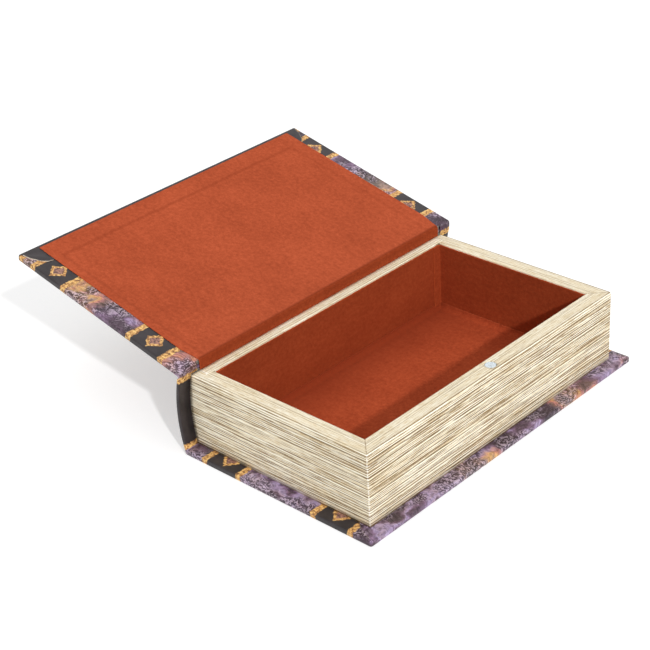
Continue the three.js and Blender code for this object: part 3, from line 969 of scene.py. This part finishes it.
def add_fore_turn_in(cover, band, raw_edges):
    """raw_edges say how pale the flap's cut edge is at the tail and at the head."""
    points, flat, mark = [], [], []
    for inset in INSETS:
        half = END_Y - np.interp(inset, *FLAP_EDGE)
        row = COVER_YS * half / INNER_Y
        from_cut = half - abs(row)
        past_mitre = inset - (END_Y - abs(row))
        lift = (FLAP_LIFT * smooth((past_mitre + FLAP_RISE) / FLAP_RISE)
                * smooth((inset - CORNER) / FLAP_RISE))
        lift = lift + LIP * smooth(1 - from_cut / LIP_WIDTH) * (lift > 0)
        points.append([(FORE_X - inset, y, cover.inside + cover.toward * z) for y, z in zip(row, lift)])
        flat.append([cover.flat(INNER_X + band + inset - CORNER, y) for y in row])
        raw = np.where(row < 0, *raw_edges) * (inset > 2 * CORNER)
        mark.append(raw * (1 - smooth(from_cut / RAW_EDGE)))
    cover.sheet.patch(points, flat, (0, 0, cover.toward), mark)


print("turned in, mm:", TURN_IN, "along the fore edge and", END_TURN_IN, "at the ends")

# %% The two covers
LID_EDGE_X = float(lid_low[0])
LID_OUTSIDE, LID_INSIDE = float(lid_high[2]), float(lid_low[2])
BASE_EDGE_X, BASE_INSIDE = (float(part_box("base_wrap")[k][a]) / MM for k, a in ((0, 0), (1, 2)))
PALE, FAINT = 1, 0.2


def cover_sheet(edge_x, outside, inside, side, raw_edges):
    cover = Cover(edge_x, outside, inside, side)
    band = add_face_and_band(cover)
    add_end_turn_ins(cover, band)
    add_fore_turn_in(cover, band, raw_edges)
    return cover.sheet.welded().thickened(PAPER)


cover_sheet(LID_EDGE_X, LID_OUTSIDE, LID_INSIDE, 1, (PALE, FAINT)).piece(
    "lid_cover_sheet", PRINT, "printed_wrap", "lid_wrap", "lid", SHUT_TO_OPEN)
cover_sheet(BASE_EDGE_X, 0, BASE_INSIDE, -1, (FAINT, FAINT)).piece(
    "base_cover_sheet", PRINT, "printed_wrap", "base_wrap")

# %% [markdown]
# ## Spine
#
# Behind the tray the same sheet runs over a curved card. Past both ends of the tray it is folded
# round and shows on its inner face. A bent plate would have flat ends, so each row of the sheet has
# an outer and an inner point. The outer ones make the long face, and at each end the sheet goes
# round from the outer point to the inner one.

# %% The curve of the spine
TRAY_BACK = -58
TRAY_FOOT, TRAY_RIM = 3.0, 43.5
BULGE = 2.6
HALF_HEIGHT = (TRAY_RIM - TRAY_FOOT) / 2
SPINE_RADIUS = (HALF_HEIGHT ** 2 + BULGE ** 2) / (2 * BULGE)
SPINE_CENTRE = (TRAY_BACK - BULGE + SPINE_RADIUS, TRAY_FOOT + HALF_HEIGHT)
OUTER_LAYER, INNER_LAYER = 1.75, -0.15
print("radius of the spine, mm:", round(SPINE_RADIUS, 1))


def on_spine(layer, z):
    """A point at a height, so far outside the curve of the tray's back."""
    reach = math.sqrt((SPINE_RADIUS + layer) ** 2 - (z - SPINE_CENTRE[1]) ** 2)
    return SPINE_CENTRE[0] - reach, z


# %% A sheet that is turned in at both ends
END_START, END_STEP = 1.2, 6
DEEPEST_FOLD = 0.42


def bound_sheet(outer, inner, flat_u, laps):
    """outer and inner are rows of (x, z). laps say how far the turned-in part reaches at each end."""
    sheet = Sheet()
    half = END_Y - END_START
    ys = samples(-half, half, END_STEP)
    sheet.patch([[(x, y, z) for y in ys] for x, z in outer],
                [[(u, y) for y in ys] for u in flat_u], (-1, 0, 0))
    for end, lap in zip((-1, 1), laps):
        points, flat = [], []
        for (ox, oz), (ix, iz), u in zip(outer, inner, flat_u):
            depth = math.hypot(ix - ox, iz - oz)
            fold = min(FOLD, DEEPEST_FOLD * depth)
            profile, run = folded_line([(END_START, 0), (0, 0), (0, depth), (lap, depth)], [fold, fold])
            points.append([(ox + (ix - ox) * d / depth, end * (END_Y - a), oz + (iz - oz) * d / depth)
                           for a, d in profile])
            flat.append([(u, end * (half + r)) for r in run])
        sheet.patch(points, flat, (0, end, 0))
    return sheet.welded().thickened(PAPER)


print("columns along a bound sheet:", len(samples(END_START - END_Y, END_Y - END_START, END_STEP)))

# %% The spine's sheet
SPINE_TOP, SPINE_FOOT = 44.2, TRAY_FOOT + 0.3
SPINE_ROWS, FOOT_ROWS = 18, 10
FOOT_HEIGHT, FOOT_BEND = 1.2, (-58.9, 0.25)
SPINE_LAPS = (7.9, 7.9)


def spine_rows(layer, foot):
    return [on_spine(layer, z) for z in np.linspace(SPINE_TOP, SPINE_FOOT, SPINE_ROWS)] + [
        tuple(p) for p in foot[1:]]


outer = spine_rows(OUTER_LAYER, curve(
    [on_spine(OUTER_LAYER, SPINE_FOOT), on_spine(OUTER_LAYER, FOOT_HEIGHT), FOOT_BEND,
     (BASE_EDGE_X, 0)], FOOT_ROWS))
inner = spine_rows(INNER_LAYER, np.linspace(
    on_spine(INNER_LAYER, SPINE_FOOT), (BASE_EDGE_X, BASE_INSIDE), FOOT_ROWS))
spine_run = run_along(outer)
bound_sheet(outer, inner, spine_run[-1] - SPINE_HALF - spine_run, SPINE_LAPS).piece(
    "spine_cover_sheet", PRINT, "printed_wrap", "spine_wrap")
print("round the spine, mm:", round(spine_run[-1], 1))

# %% [markdown]
# ## Joint
#
# From the spine the sheet crosses a soft joint to the lid, and there it bends each time the box is
# opened. Two rigid halves would tear apart or cut into each other, so one sheet runs between the tray
# and the lid. It is made in the same way as the spine's, between where that one ends and where the
# open lid begins.

# %% The joint's sheet
JOINT_STEPS = 13
JOINT_OUTSIDE = ((-58.75, 44.9), (-58.6, 45.4))
JOINT_INSIDE = ((-57.6, 45.6), (-57.58, 47.4), (-57.75, 48.5))
JOINT_LAPS = (12.3, 8.6)


def opened(x, z):
    """Where a point of the shut lid is when the lid is open, seen along the hinge."""
    p = SHUT_TO_OPEN @ Vector((x, 0, z))
    return p.x, p.z


joint_outer = curve([on_spine(OUTER_LAYER, SPINE_TOP), *JOINT_OUTSIDE, opened(LID_EDGE_X, LID_OUTSIDE)],
                    JOINT_STEPS)
joint_inner = curve([on_spine(INNER_LAYER, SPINE_TOP), *JOINT_INSIDE, opened(LID_EDGE_X, LID_INSIDE)],
                    JOINT_STEPS)
joint_u = np.linspace(spine_run[-1] - SPINE_HALF, SPINE_HALF, JOINT_STEPS)
joint = bound_sheet(joint_outer, joint_inner, joint_u, JOINT_LAPS).piece(
    "joint_sheet", PRINT, "printed_wrap", "hinge_wrap", body=None)
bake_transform(joint)

# %% [markdown]
# ## Page-edge paper on the tray
#
# Each wall carries its own strip: up the outside, over the rim and 12 mm down inside. At the
# fore-edge corners two strips meet in a mitre. A box with a striped finish would show its stripes
# breaking at every edge. On a folded strip the lines of the print follow the distance up the wall
# and on over the rim, so they meet at the corners as page edges do.

# %% Sizes of the tray, and what its strips share
TRAY_FORE, TRAY_END = 58.0, 97.5
FOLD_FORE, FOLD_END, FOLD_SPINE = 48.4, 87.9, -51.2
FOLD_BOTTOM = 31.5
RIM_FOLD, INSIDE_FOLD = 0.5, 0.35
VERTICAL_ROUND = 0.7
LEAF_STEP = 2.5
NEAR_CORNER = np.array((0, 0.2, 0.4, 0.6, 0.8, 1.1, 1.6, 2.4, 3.5, 5, 7))
PAST_CORNER = 9
WORN = 0.6


def corner_round(along, across):
    """Turns the square vertical corner into a round one. Both are distances from its two sides."""
    radius = VERTICAL_ROUND
    near, inset = max(along, across), min(along, across)
    if near >= radius:
        return along, across
    reach = radius - inset
    angle = math.pi / 4 * (1 - (near - inset) / reach)
    a, b = radius - reach * math.sin(angle), radius - reach * math.cos(angle)
    return (a, b) if along >= across else (b, a)


def strip_profile(outside, inside):
    """Distance in from the outside and height, row by row, and the distance across the leaves."""
    depth = abs(outside - inside)
    corners = [(0, TRAY_FOOT), (0, TRAY_RIM), (depth, TRAY_RIM), (depth, FOLD_BOTTOM)]
    return folded_line(corners, [RIM_FOLD, INSIDE_FOLD], LEAF_STEP)


def mitre_mark(across, from_mitre):
    """The mitre is worn pale down the outer corner, and is a darker seam on the rim and inside."""
    return (1 if across < RIM_FOLD else -1) * (1 - smooth(from_mitre / WORN))


print("a strip's paper from foot to inner edge, mm:", round(strip_profile(TRAY_END, FOLD_END)[1][-1], 1))

# %% The strips of the two ends
END_COLUMNS, BACK_COLUMNS = 18, 5
RIM_ROOM = 0.01


def end_paper(name, node, end):
    """end is -1 at the tail and 1 at the head."""
    line, run = strip_profile(TRAY_END, FOLD_END)
    body, flat, mark, back, back_flat = [], [], [], [], []

    def round_the_tray(x):
        """Distance round the tray from the tail's fore-edge corner, so that the lines run on."""
        return x - TRAY_FORE if end < 0 else 2 * TRAY_END + TRAY_FORE - x

    for (across, z), s in zip(line, run):
        reach = TRAY_FORE - across
        row = np.concatenate([np.linspace(FOLD_SPINE, reach - PAST_CORNER, END_COLUMNS),
                              reach - NEAR_CORNER[::-1]])
        turned = [corner_round(TRAY_FORE - x, across) for x in row]
        body.append([(TRAY_FORE - along, end * (TRAY_END - inward), z) for along, inward in turned])
        flat.append([(round_the_tray(x), s) for x in row])
        mark.append(mitre_mark(across, reach - row))
        row = np.linspace(on_spine(0, z)[0], FOLD_SPINE, BACK_COLUMNS)
        back.append([(x, end * (TRAY_END - across), z) for x in row])
        back_flat.append([(round_the_tray(x), s) for x in row])
    # Over the spine wall the strip ends on the rim, because that wall leaves no inner corner for it.
    rim_end = TRAY_END - FOLD_END - INSIDE_FOLD - RIM_ROOM
    rows = 1 + next(i for i, (across, z) in enumerate(line) if across > rim_end)
    sheet = Sheet().patch(body, flat, (0, end, 0), mark)
    sheet.patch(back[:rows], back_flat[:rows], (0, end, 0))
    sheet.welded().thickened(PAPER).piece(name, PAGES, "page_paper", node)


end_paper("tail_page_sheet", "tail_page_paper", -1)
end_paper("head_page_sheet", "head_page_paper", 1)

# %% [markdown]
# ### The fore edge
#
# The strip of the fore edge has a mitre at both ends and a hole in its rim for the magnet. A hole
# could be cut with a boolean, but that leaves ragged faces in a thin sheet. So the grid leaves out a
# small square, and a ring fills it between the square and the round hole.

# %% The grid of the fore edge
MAGNET_X, HOLE, HOLE_SQUARE = 53.2, 3.1, 4
PAST_HOLE = 6
FORE_COLUMNS = 16
NEARLY = 1e-6

line, run = strip_profile(TRAY_FORE, FOLD_FORE)
on_top = [i for i, (d, z) in enumerate(line) if abs(z - TRAY_RIM) < NEARLY]
hole_rows = TRAY_FORE - MAGNET_X + np.arange(-HOLE_SQUARE, HOLE_SQUARE + 1)
line = np.array([*line[:on_top[0] + 1], *[(d, TRAY_RIM) for d in hole_rows], *line[on_top[-1]:]])
run = run_along(line)
points, flat, mark = [], [], []
for (across, z), s in zip(line, run):
    reach = TRAY_END - across
    row = np.concatenate([
        NEAR_CORNER - reach, np.linspace(PAST_CORNER - reach, -PAST_HOLE, FORE_COLUMNS),
        np.arange(-HOLE_SQUARE, HOLE_SQUARE + 1),
        np.linspace(PAST_HOLE, reach - PAST_CORNER, FORE_COLUMNS), reach - NEAR_CORNER[::-1]])
    turned = [(y, *corner_round(TRAY_END - abs(y), across)) for y in row]
    points.append([(TRAY_FORE - inward, math.copysign(TRAY_END - along, y), z)
                   for y, along, inward in turned])
    flat.append([(y + TRAY_END, s) for y in row])
    mark.append(mitre_mark(across, reach - abs(row)))
print("grid of the fore edge:", len(points), "rows of", len(row))

# %% The fore edge, with the magnet's hole
top = [i for i, (d, z) in enumerate(line)
       if abs(TRAY_FORE - d - MAGNET_X) <= HOLE_SQUARE + NEARLY and abs(z - TRAY_RIM) < NEARLY]
side = [k for k, y in enumerate(row) if abs(y) <= HOLE_SQUARE]
fore = Sheet().patch(points, flat, (1, 0, 0), mark,
                     keep=lambda i, j: not (top[0] <= i < top[-1] and side[0] <= j < side[-1]))
square = [(top[0], j) for j in side[:-1]] + [(i, side[-1]) for i in top[:-1]]
square += [(top[-1], j) for j in side[:0:-1]] + [(i, side[0]) for i in top[:0:-1]]
middle = np.array((MAGNET_X, 0, TRAY_RIM))
ring, ring_flat = [[], []], [[], []]
for i, j in square + square[:1]:
    arm = np.array(points[i][j]) - middle
    arm *= HOLE / np.linalg.norm(arm)
    ring[0].append(points[i][j])
    ring[1].append(middle + arm)
    ring_flat[0].append(flat[i][j])
    ring_flat[1].append((arm[1] + TRAY_END,
                         run[top[0]] + TRAY_FORE - MAGNET_X - arm[0] - line[top[0]][0]))
fore.patch(ring, ring_flat, (0, 0, 1))
fore.welded().thickened(PAPER).piece(
    "fore_edge_page_sheet", PAGES_FORE_PAINTED_SHADE, "page_paper", "fore_edge_page_paper")

# %% [markdown]
# ### The spine wall's rim
#
# The spine wall is too thin for a strip of its own on the outside. A last strip covers its rim and
# the top of its inner face, and laps over the strips of both ends, where its cut edge shows. It
# could be left out, because the lid's joint hides half of it, but then bare board would show.

# %% The strip on the spine wall
STRIP_BACK, STRIP_Z, STRIP_END = -57.45, 43.72, 92.5
STRIP_HALF = 87.8
STRIP_STEP, STRIP_COLUMNS, LAP_COLUMNS = 2.0, 34, 4
# Its place on the flat paper lies past RIM_LIMITS, where the lines are rubbed as on the other rims.
STRIP_PLACE = 60

line, run = folded_line([(STRIP_BACK, STRIP_Z), (FOLD_SPINE, STRIP_Z), (FOLD_SPINE, FOLD_BOTTOM)],
                        [INSIDE_FOLD], STRIP_STEP)
first_fold = next(i for i, (x, z) in enumerate(line) if z < STRIP_Z - NEARLY)
ys = np.linspace(-STRIP_HALF, STRIP_HALF, STRIP_COLUMNS)
strip = Sheet().patch([[(x, y, z) for y in ys] for x, z in line],
                      [[(y, s + STRIP_PLACE) for y in ys] for s in run], (0, 0, 1))
ys = np.linspace(STRIP_HALF, STRIP_END, LAP_COLUMNS)
for end in (-1, 1):
    strip.patch([[(x, end * y, z) for y in ys] for x, z in line[:first_fold]],
                [[(end * y, s + STRIP_PLACE) for y in ys] for s in run[:first_fold]], (0, 0, 1),
                [1 - smooth((STRIP_END - ys) / WORN)] * first_fold)
strip.welded().thickened(PAPER).piece("spine_rim_strip", PAGES, "page_paper", "spine_rim_paper")

# %% [markdown]
# ## Suede linings
#
# Suede is soft and half a millimetre thick. Its cut edges are slightly rounded and fuzzy, it bridges
# small steps under it, and it never lies quite flat, so light plays over it. A cloth simulation
# would let it drape, but this suede is glued down. So each lining is a grid over a plane or a bend,
# with a front that rises from the cut edge and a back that lies on the glue.

# %% Where a lining is sampled, and how it swells
SUEDE_THICK = 0.45
EDGE_RISE = ((0, 0.04, 0.12, 0.25, 0.5), (0.3, 0.6, 0.84, 0.95, 1))
EDGE_SAMPLES = np.array((0, 0.04, 0.12, 0.25, 0.5, 1))
PAST_EDGE, FAR_FROM_EDGES = 2, 9
SUEDE_STEP = 3
SWELL, SWELL_START = 0.05, 6
# How far from a cut edge its fuzz and painted highlight reach.
FUZZ_AND_HIGHLIGHT_REACH = 0.35


def with_edges(low, high, step, cut=(True, True)):
    """Samples that crowd towards the cut edges."""
    inner = samples(low + cut[0] * PAST_EDGE, high - cut[1] * PAST_EDGE, step)
    parts = [low + EDGE_SAMPLES] * cut[0] + [inner] + [high - EDGE_SAMPLES[::-1]] * cut[1]
    return np.concatenate(parts)


def swelling(u, v):
    """A slow unevenness between -1 and 1, from a long and a short wave that never fall in step."""
    long_wave = math.sin(u / 13 + 1.3 * math.sin(v / 29)) * math.sin(v / 17 + 0.7)
    short_wave = math.sin(u / 7.1 + v / 11.3 + 2)
    return (long_wave + 0.5 * short_wave) / 1.5


print("samples from a cut edge, mm:", with_edges(0, 12, SUEDE_STEP).round(2))


# %% A glued lining
def lining(us, vs, place, cut=(True, True, True, True), under=None, facing=(0, 0, 1), painted_shade=None,
           keep=None):
    """place gives the point on the glue and the direction of the nap at (u, v). cut says which of
    the sides low u, high u, low v and high v are cut edges. under is what raises it from below,
    the argument after facing says how far painted shade darkens it, and keep leaves out cells of the grid."""
    front, back, flat, mark = [], [], [], []
    for u in us:
        rows = ([], [], [], [])
        for v in vs:
            gaps = [g for g, c in zip((u - us[0], us[-1] - u, v - vs[0], vs[-1] - v), cut) if c]
            gap = min(gaps + [FAR_FROM_EDGES])
            point, nap = (np.array(p, float) for p in place(u, v))
            lift = (under(u, v) if under else 0) + SWELL * swelling(u, v) * smooth(gap / SWELL_START)
            rows[0].append(point + nap * (lift + SUEDE_THICK * np.interp(gap, *EDGE_RISE)))
            rows[1].append(point + nap * lift)
            rows[2].append((u, v))
            # The mark is 1 at a cut edge, for its fuzz and painted highlight, and below 0 where painted
            # shade darkens the suede.
            rows[3].append(1 - smooth(gap / FUZZ_AND_HIGHLIGHT_REACH) - (painted_shade(u, v) if painted_shade else 0))
        for values, new in zip((front, back, flat, mark), rows):
            values.append(new)
    return Sheet().patch(front, flat, facing, mark, keep, back)


def lay(sheet, name, node, body="tray", matrix=None, finish=SUEDE_PAINTED_SHADE):
    """Makes the piece from a lining sheet."""
    piece = sheet.piece(name, finish, "suede_lining", node, body, matrix)
    return piece


print("suede is", SUEDE_THICK, "mm thick, and its cut edge rises over", EDGE_RISE[0][-1], "mm")

# %% [markdown]
# ### The lid's suede
#
# The turned-in paper is as thick as a nail and shows through the suede as a soft raised line, three
# sides round. A bump in the finish would draw it, but it would not show in the piece's outline. So
# the suede really sinks where the paper ends, and a darker line of painted shade follows that step
# and the bend into the joint.

# %% What the lid's suede lies on
LINING_LOW, LINING_HIGH = corners_of("lid_lining", shut=True)
STEP_DOWN, STEP_WIDTH = 0.26, 1.8
LEVEL_START = 4
NARROWING, NARROWING_LENGTH = 0.018, 13
# Painted shade along the turn-ins' edge and at the bend into the joint, with its width.
FORE_LINE_SHADE, END_LINE_SHADE = 0.42, 0.24
BEND_SHADE, BEND_SHADE_WIDTH = 0.8, 1.6


def from_turn_ins(x, y):
    """Distance inward from where the turned-in paper ends under the lining."""
    return min(FORE_X - TURN_IN - x, END_Y - END_TURN_IN - abs(y))


def over_turn_ins(x, y):
    """The lid lining sinks where no turned-in paper lies under it."""
    past = smooth(from_turn_ins(x, y) / STEP_WIDTH + 0.5)
    return -STEP_DOWN * past * smooth((x - LINING_LOW[0]) / LEVEL_START)


def lid_painted_shade(x, y):
    """Painted shade: a darker line over the turn-ins' edge, and darker where the lining bends into the
    joint.
    """
    weight = FORE_LINE_SHADE if FORE_X - TURN_IN - x < END_Y - END_TURN_IN - abs(y) else END_LINE_SHADE
    line = weight * (1 - smooth(abs(from_turn_ins(x, y)) / STEP_WIDTH))
    return max(line, BEND_SHADE * (1 - smooth((x - LINING_LOW[0]) / BEND_SHADE_WIDTH)))


def on_the_lid(x, y):
    """The lining is cut a little shorter towards the joint, so that it can bend there."""
    narrowed = 1 - NARROWING * smooth(1 - (x - LINING_LOW[0]) / NARROWING_LENGTH)
    return (x, y * narrowed, LINING_HIGH[2]), (0, 0, -1)


print("past the turn-ins, the lid's suede sinks by", STEP_DOWN, "mm")

# %% The lid's suede
PAST_BEND = 3
TURN_SAMPLES = np.array((-1.8, -1, -0.5, 0, 0.5, 1, 1.8))
BEND_SAMPLES = np.array((0, 0.4, 0.8, 1.2, 1.6))

xs = np.sort(np.concatenate([
    with_edges(LINING_LOW[0] + PAST_BEND, LINING_HIGH[0], SUEDE_STEP, (False, True)),
    FORE_X - TURN_IN + TURN_SAMPLES, LINING_LOW[0] + BEND_SAMPLES]))
ys = np.sort(np.concatenate([
    with_edges(LINING_LOW[1], LINING_HIGH[1], SUEDE_STEP),
    TURN_SAMPLES + (END_Y - END_TURN_IN), TURN_SAMPLES - (END_Y - END_TURN_IN)]))
lid_suede = lining(xs, ys, on_the_lid, (False, True, True, True), over_turn_ins,
                   facing=(0, 0, -1), painted_shade=lid_painted_shade)
lay(lid_suede, "lid_suede", "lid_lining",
    "lid", SHUT_TO_OPEN, finish=SUEDE_LIT)

# %% [markdown]
# ### The tray's walls
#
# The suede of the two end walls is a little longer than the wall and laps round the corner onto the
# spine wall, where its cut edge shows. Four separate plates would leave bare corners. Each lining
# follows a path seen from above, with the nap on its left, and the path may turn a corner.

# %% The walls' suede
WALL_TOP, FLOOR_TOP = 42.9, 3.2
SPINE_LAP, LAP_ROUND = 5.6, 1.1
WALL_STEP = 4.0
SUEDE_ROOM = 0.5
SPINE_SUEDE_HALF, FORE_SUEDE_HALF = 87.3, 87.8
SHADED, SHADED_FOOT, SHADED_HEIGHT = 0.08, 0.28, 26


def spine_painted_shade(along, z):
    """Painted shade on the spine wall: a little everywhere, and more towards the floor."""
    return SHADED + SHADED_FOOT * (1 - smooth((z - FLOOR_TOP) / SHADED_HEIGHT))


def wall_lining(name, node, path, cut, painted_shade=None):
    """cut says whether the start and the end of the path are cut edges."""
    line, run = folded_line(path, [LAP_ROUND] * (len(path) - 2), WALL_STEP)
    slope = np.gradient(line, run, axis=0)
    us = np.unique(np.concatenate([run, run[0] + EDGE_SAMPLES * cut[0], run[-1] - EDGE_SAMPLES * cut[1]]))
    vs = with_edges(FLOOR_TOP, WALL_TOP, SUEDE_STEP, (False, True))

    def place(u, v):
        (x, y), (nx, ny) = at_length(u, line, run, slope)
        return (x, y, v), (nx, ny, 0)

    sheet = lining(us, vs, place, (*cut, False, True), facing=place(us[1], FLOOR_TOP)[1], painted_shade=painted_shade)
    lay(sheet, name, node)


inner_spine, inner_fore = FOLD_SPINE + SUEDE_ROOM, FOLD_FORE - SUEDE_ROOM
wall_lining("spine_suede", "spine_lining",
            [(FOLD_SPINE, SPINE_SUEDE_HALF), (FOLD_SPINE, -SPINE_SUEDE_HALF)],
            (False, False), spine_painted_shade)
wall_lining("fore_edge_suede", "fore_edge_lining",
            [(FOLD_FORE, -FORE_SUEDE_HALF), (FOLD_FORE, FORE_SUEDE_HALF)],
            (False, False))
wall_lining("head_suede", "head_lining",
            [(inner_fore, FOLD_END), (inner_spine, FOLD_END), (inner_spine, FOLD_END - SPINE_LAP)],
            (False, True))
wall_lining("tail_suede", "tail_lining",
            [(inner_spine, SPINE_LAP - FOLD_END), (inner_spine, -FOLD_END), (inner_fore, -FOLD_END)],
            (True, False))

# %% [markdown]
# ### The floor
#
# The floor's suede is pressed into the corners with a bone folder, so it rides up the walls in a
# round. A flat plate would leave a hard line there. The grid is flat and closer at its edges, and
# each point is raised by the height of the round. Towards the spine, and most in the round at the
# spine wall, painted shade darkens it.

# %% The floor's suede
FLOOR_SIDES = ((-50.7, 47.9), (-87.4, 87.4))
FLOOR_GLUE = 2.75
TURN_UP, TURN_ROWS = 3.2, 8
PAST_TURN = 6
# Painted shade on the floor towards the spine, and more in the round at the spine wall.
SPINE_SIDE_SHADE, SPINE_SIDE_SHADE_WIDTH = 0.5, 38
CORNER_SHADE = 0.35


def turned_up(x, y):
    """How high the suede rides up near a wall."""
    (x0, x1), (y0, y1) = FLOOR_SIDES
    past = TURN_UP - min(TURN_UP, x - x0, x1 - x, y - y0, y1 - y)
    return TURN_UP - math.sqrt(max(0, TURN_UP ** 2 - past ** 2))


def floor_painted_shade(x, y):
    """Painted shade on the floor: darker towards the spine, and more in the round up that wall."""
    inward = x - FLOOR_SIDES[0][0]
    return (SPINE_SIDE_SHADE * (1 - smooth(inward / SPINE_SIDE_SHADE_WIDTH))
            + CORNER_SHADE * (1 - smooth(inward / TURN_UP / 2)))


press = TURN_UP * (1 - np.cos(np.linspace(0, math.pi / 2, TURN_ROWS)))
xs, ys = (np.concatenate([a + press, samples(a + PAST_TURN, b - PAST_TURN, SUEDE_STEP), b - press[::-1]])
          for a, b in FLOOR_SIDES)
# A quarter round is longer than the square it cuts across, so the flat sheet is larger than the floor.
floor_suede = lining(xs, ys, lambda x, y: ((x, y, FLOOR_GLUE), (0, 0, 1)), (False,) * 4, turned_up,
                     painted_shade=floor_painted_shade)
lay(floor_suede, "floor_suede", "floor_lining", finish=SUEDE_HALF_SHADED)

# %% [markdown]
# ### The joint
#
# A narrow strip of suede comes down from the lid to the tray's rim and hides the joint. It shows as
# a darker band, deepened by painted shade, and it has to bend with the lid. Below the rim it is
# tucked behind the spine wall, only between the end walls, so the sheet is a broad T. Two strips
# would meet at the rim in a seam that the real suede doesn't have, so it is one sheet with cells
# left out of its grid.

# %% The line that the joint's suede follows
LID_GLUE = 0.16
FALL_BENDS = ((-58.28, 49.02), (-57.98, 48.1), (-57.95, 46), (-57.95, TRAY_RIM + 0.04))
FALL_STEPS = 12
TUCK_BOTTOM, TUCK_END, TUCK_STEPS = 33.5, 88.1, 4

fall = curve([opened(LID_EDGE_X, LID_INSIDE - LID_GLUE), *FALL_BENDS], FALL_STEPS)
fall_rows = len(fall) - 1
wall_x, wall_z = fall[-1]
fall = np.array([*fall, *((wall_x, z) for z in np.linspace(wall_z, TUCK_BOTTOM, TUCK_STEPS + 1)[1:])])
fall_run = run_along(fall)
fall_slope = np.gradient(fall, fall_run, axis=0)
# It leaves the lid along the lid's own slope.
fall_slope[0] = [b - a for a, b in zip(opened(1, 0), opened(0, 0))]
tuck_side = TUCK_END / (1 - NARROWING)
print("down the joint, mm:", round(fall_run[fall_rows], 1), "and tucked in:", round(wall_z - TUCK_BOTTOM, 1))

# %% The joint's suede
JOINT_SUEDE_STEP = 4
JOINT_SHADE = 0.4
joint_ys = np.sort(np.append(with_edges(LINING_LOW[1], LINING_HIGH[1], JOINT_SUEDE_STEP),
                             (-tuck_side, tuck_side)))


def down_the_joint(u, v):
    (x, z), (nx, nz) = at_length(u, fall, fall_run, fall_slope)
    return (x, v * (1 - NARROWING), z), (nx, 0, nz)


def falls_or_is_tucked(i, j):
    """Below the rim only the part between the end walls goes on down."""
    return i < fall_rows or max(abs(joint_ys[j]), abs(joint_ys[j + 1])) < tuck_side + WELD


def joint_painted_shade(u, v):
    """Painted shade, darkest at the lid, where the strip bends most."""
    return JOINT_SHADE * (1 - smooth(u / fall_run[fall_rows]))


joint_suede = lining(fall_run, joint_ys, down_the_joint, (False, False, True, True), facing=(1, 0, 0),
                     painted_shade=joint_painted_shade, keep=falls_or_is_tucked)
joint_strip = lay(joint_suede.welded(), "joint_suede", "hinge_lining",
                  body=None)
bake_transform(joint_strip)

# %% [markdown]
# ## Magnet
#
# A small plated disc is let into the rim and meets its partner, which is hidden in the lid. A
# cylinder would look like a coin with knife edges. This disc is turned from a profile, so its edge
# is slightly rounded and its middle carries a tiny pit.

# %% Magnet disc
DISC_SIDES = 48
# Half the outline of the disc: distance from its middle, and height over the rim.
DISC = ((0, -0.12), (0.22, -0.1), (0.3, 0), (1.6, 0.01), (2.6, 0), (2.85, -0.06), (2.96, -0.2),
        (2.98, -2.75), (2.8, -2.88), (0, -2.88))

# The rows run clockwise, so that the faces look outwards.
turns = [-2 * math.pi * k / DISC_SIDES for k in range(DISC_SIDES + 1)]
rows = [[(MAGNET_X + r * math.cos(t), r * math.sin(t), TRAY_RIM + z) for t in turns] for r, z in DISC]
disc = Sheet().patch(rows, [[(0, 0)] * len(turns)] * len(rows), (0, 0, 1)).welded()
new_piece("rim_magnet_disc", disc.points, disc.faces, METAL, "rim_magnet")

# %% [markdown]
# ## Boards and walls from the frame
#
# The boards, the walls and the lid's magnet are exact as they are. They could be made again as
# meshes, but nothing would be gained. They only need their finish.

# %% Finishes on the frame's own solids
KEPT = {"board": GREYBOARD, "wall": FIBREBOARD, "magnet": METAL}
for name, node in frame["nodes"].items():
    for word, finish in KEPT.items():
        if name.endswith(word):
            node.data.materials.clear()
            node.data.materials.append(finish)
            print(name, "is", finish.name)
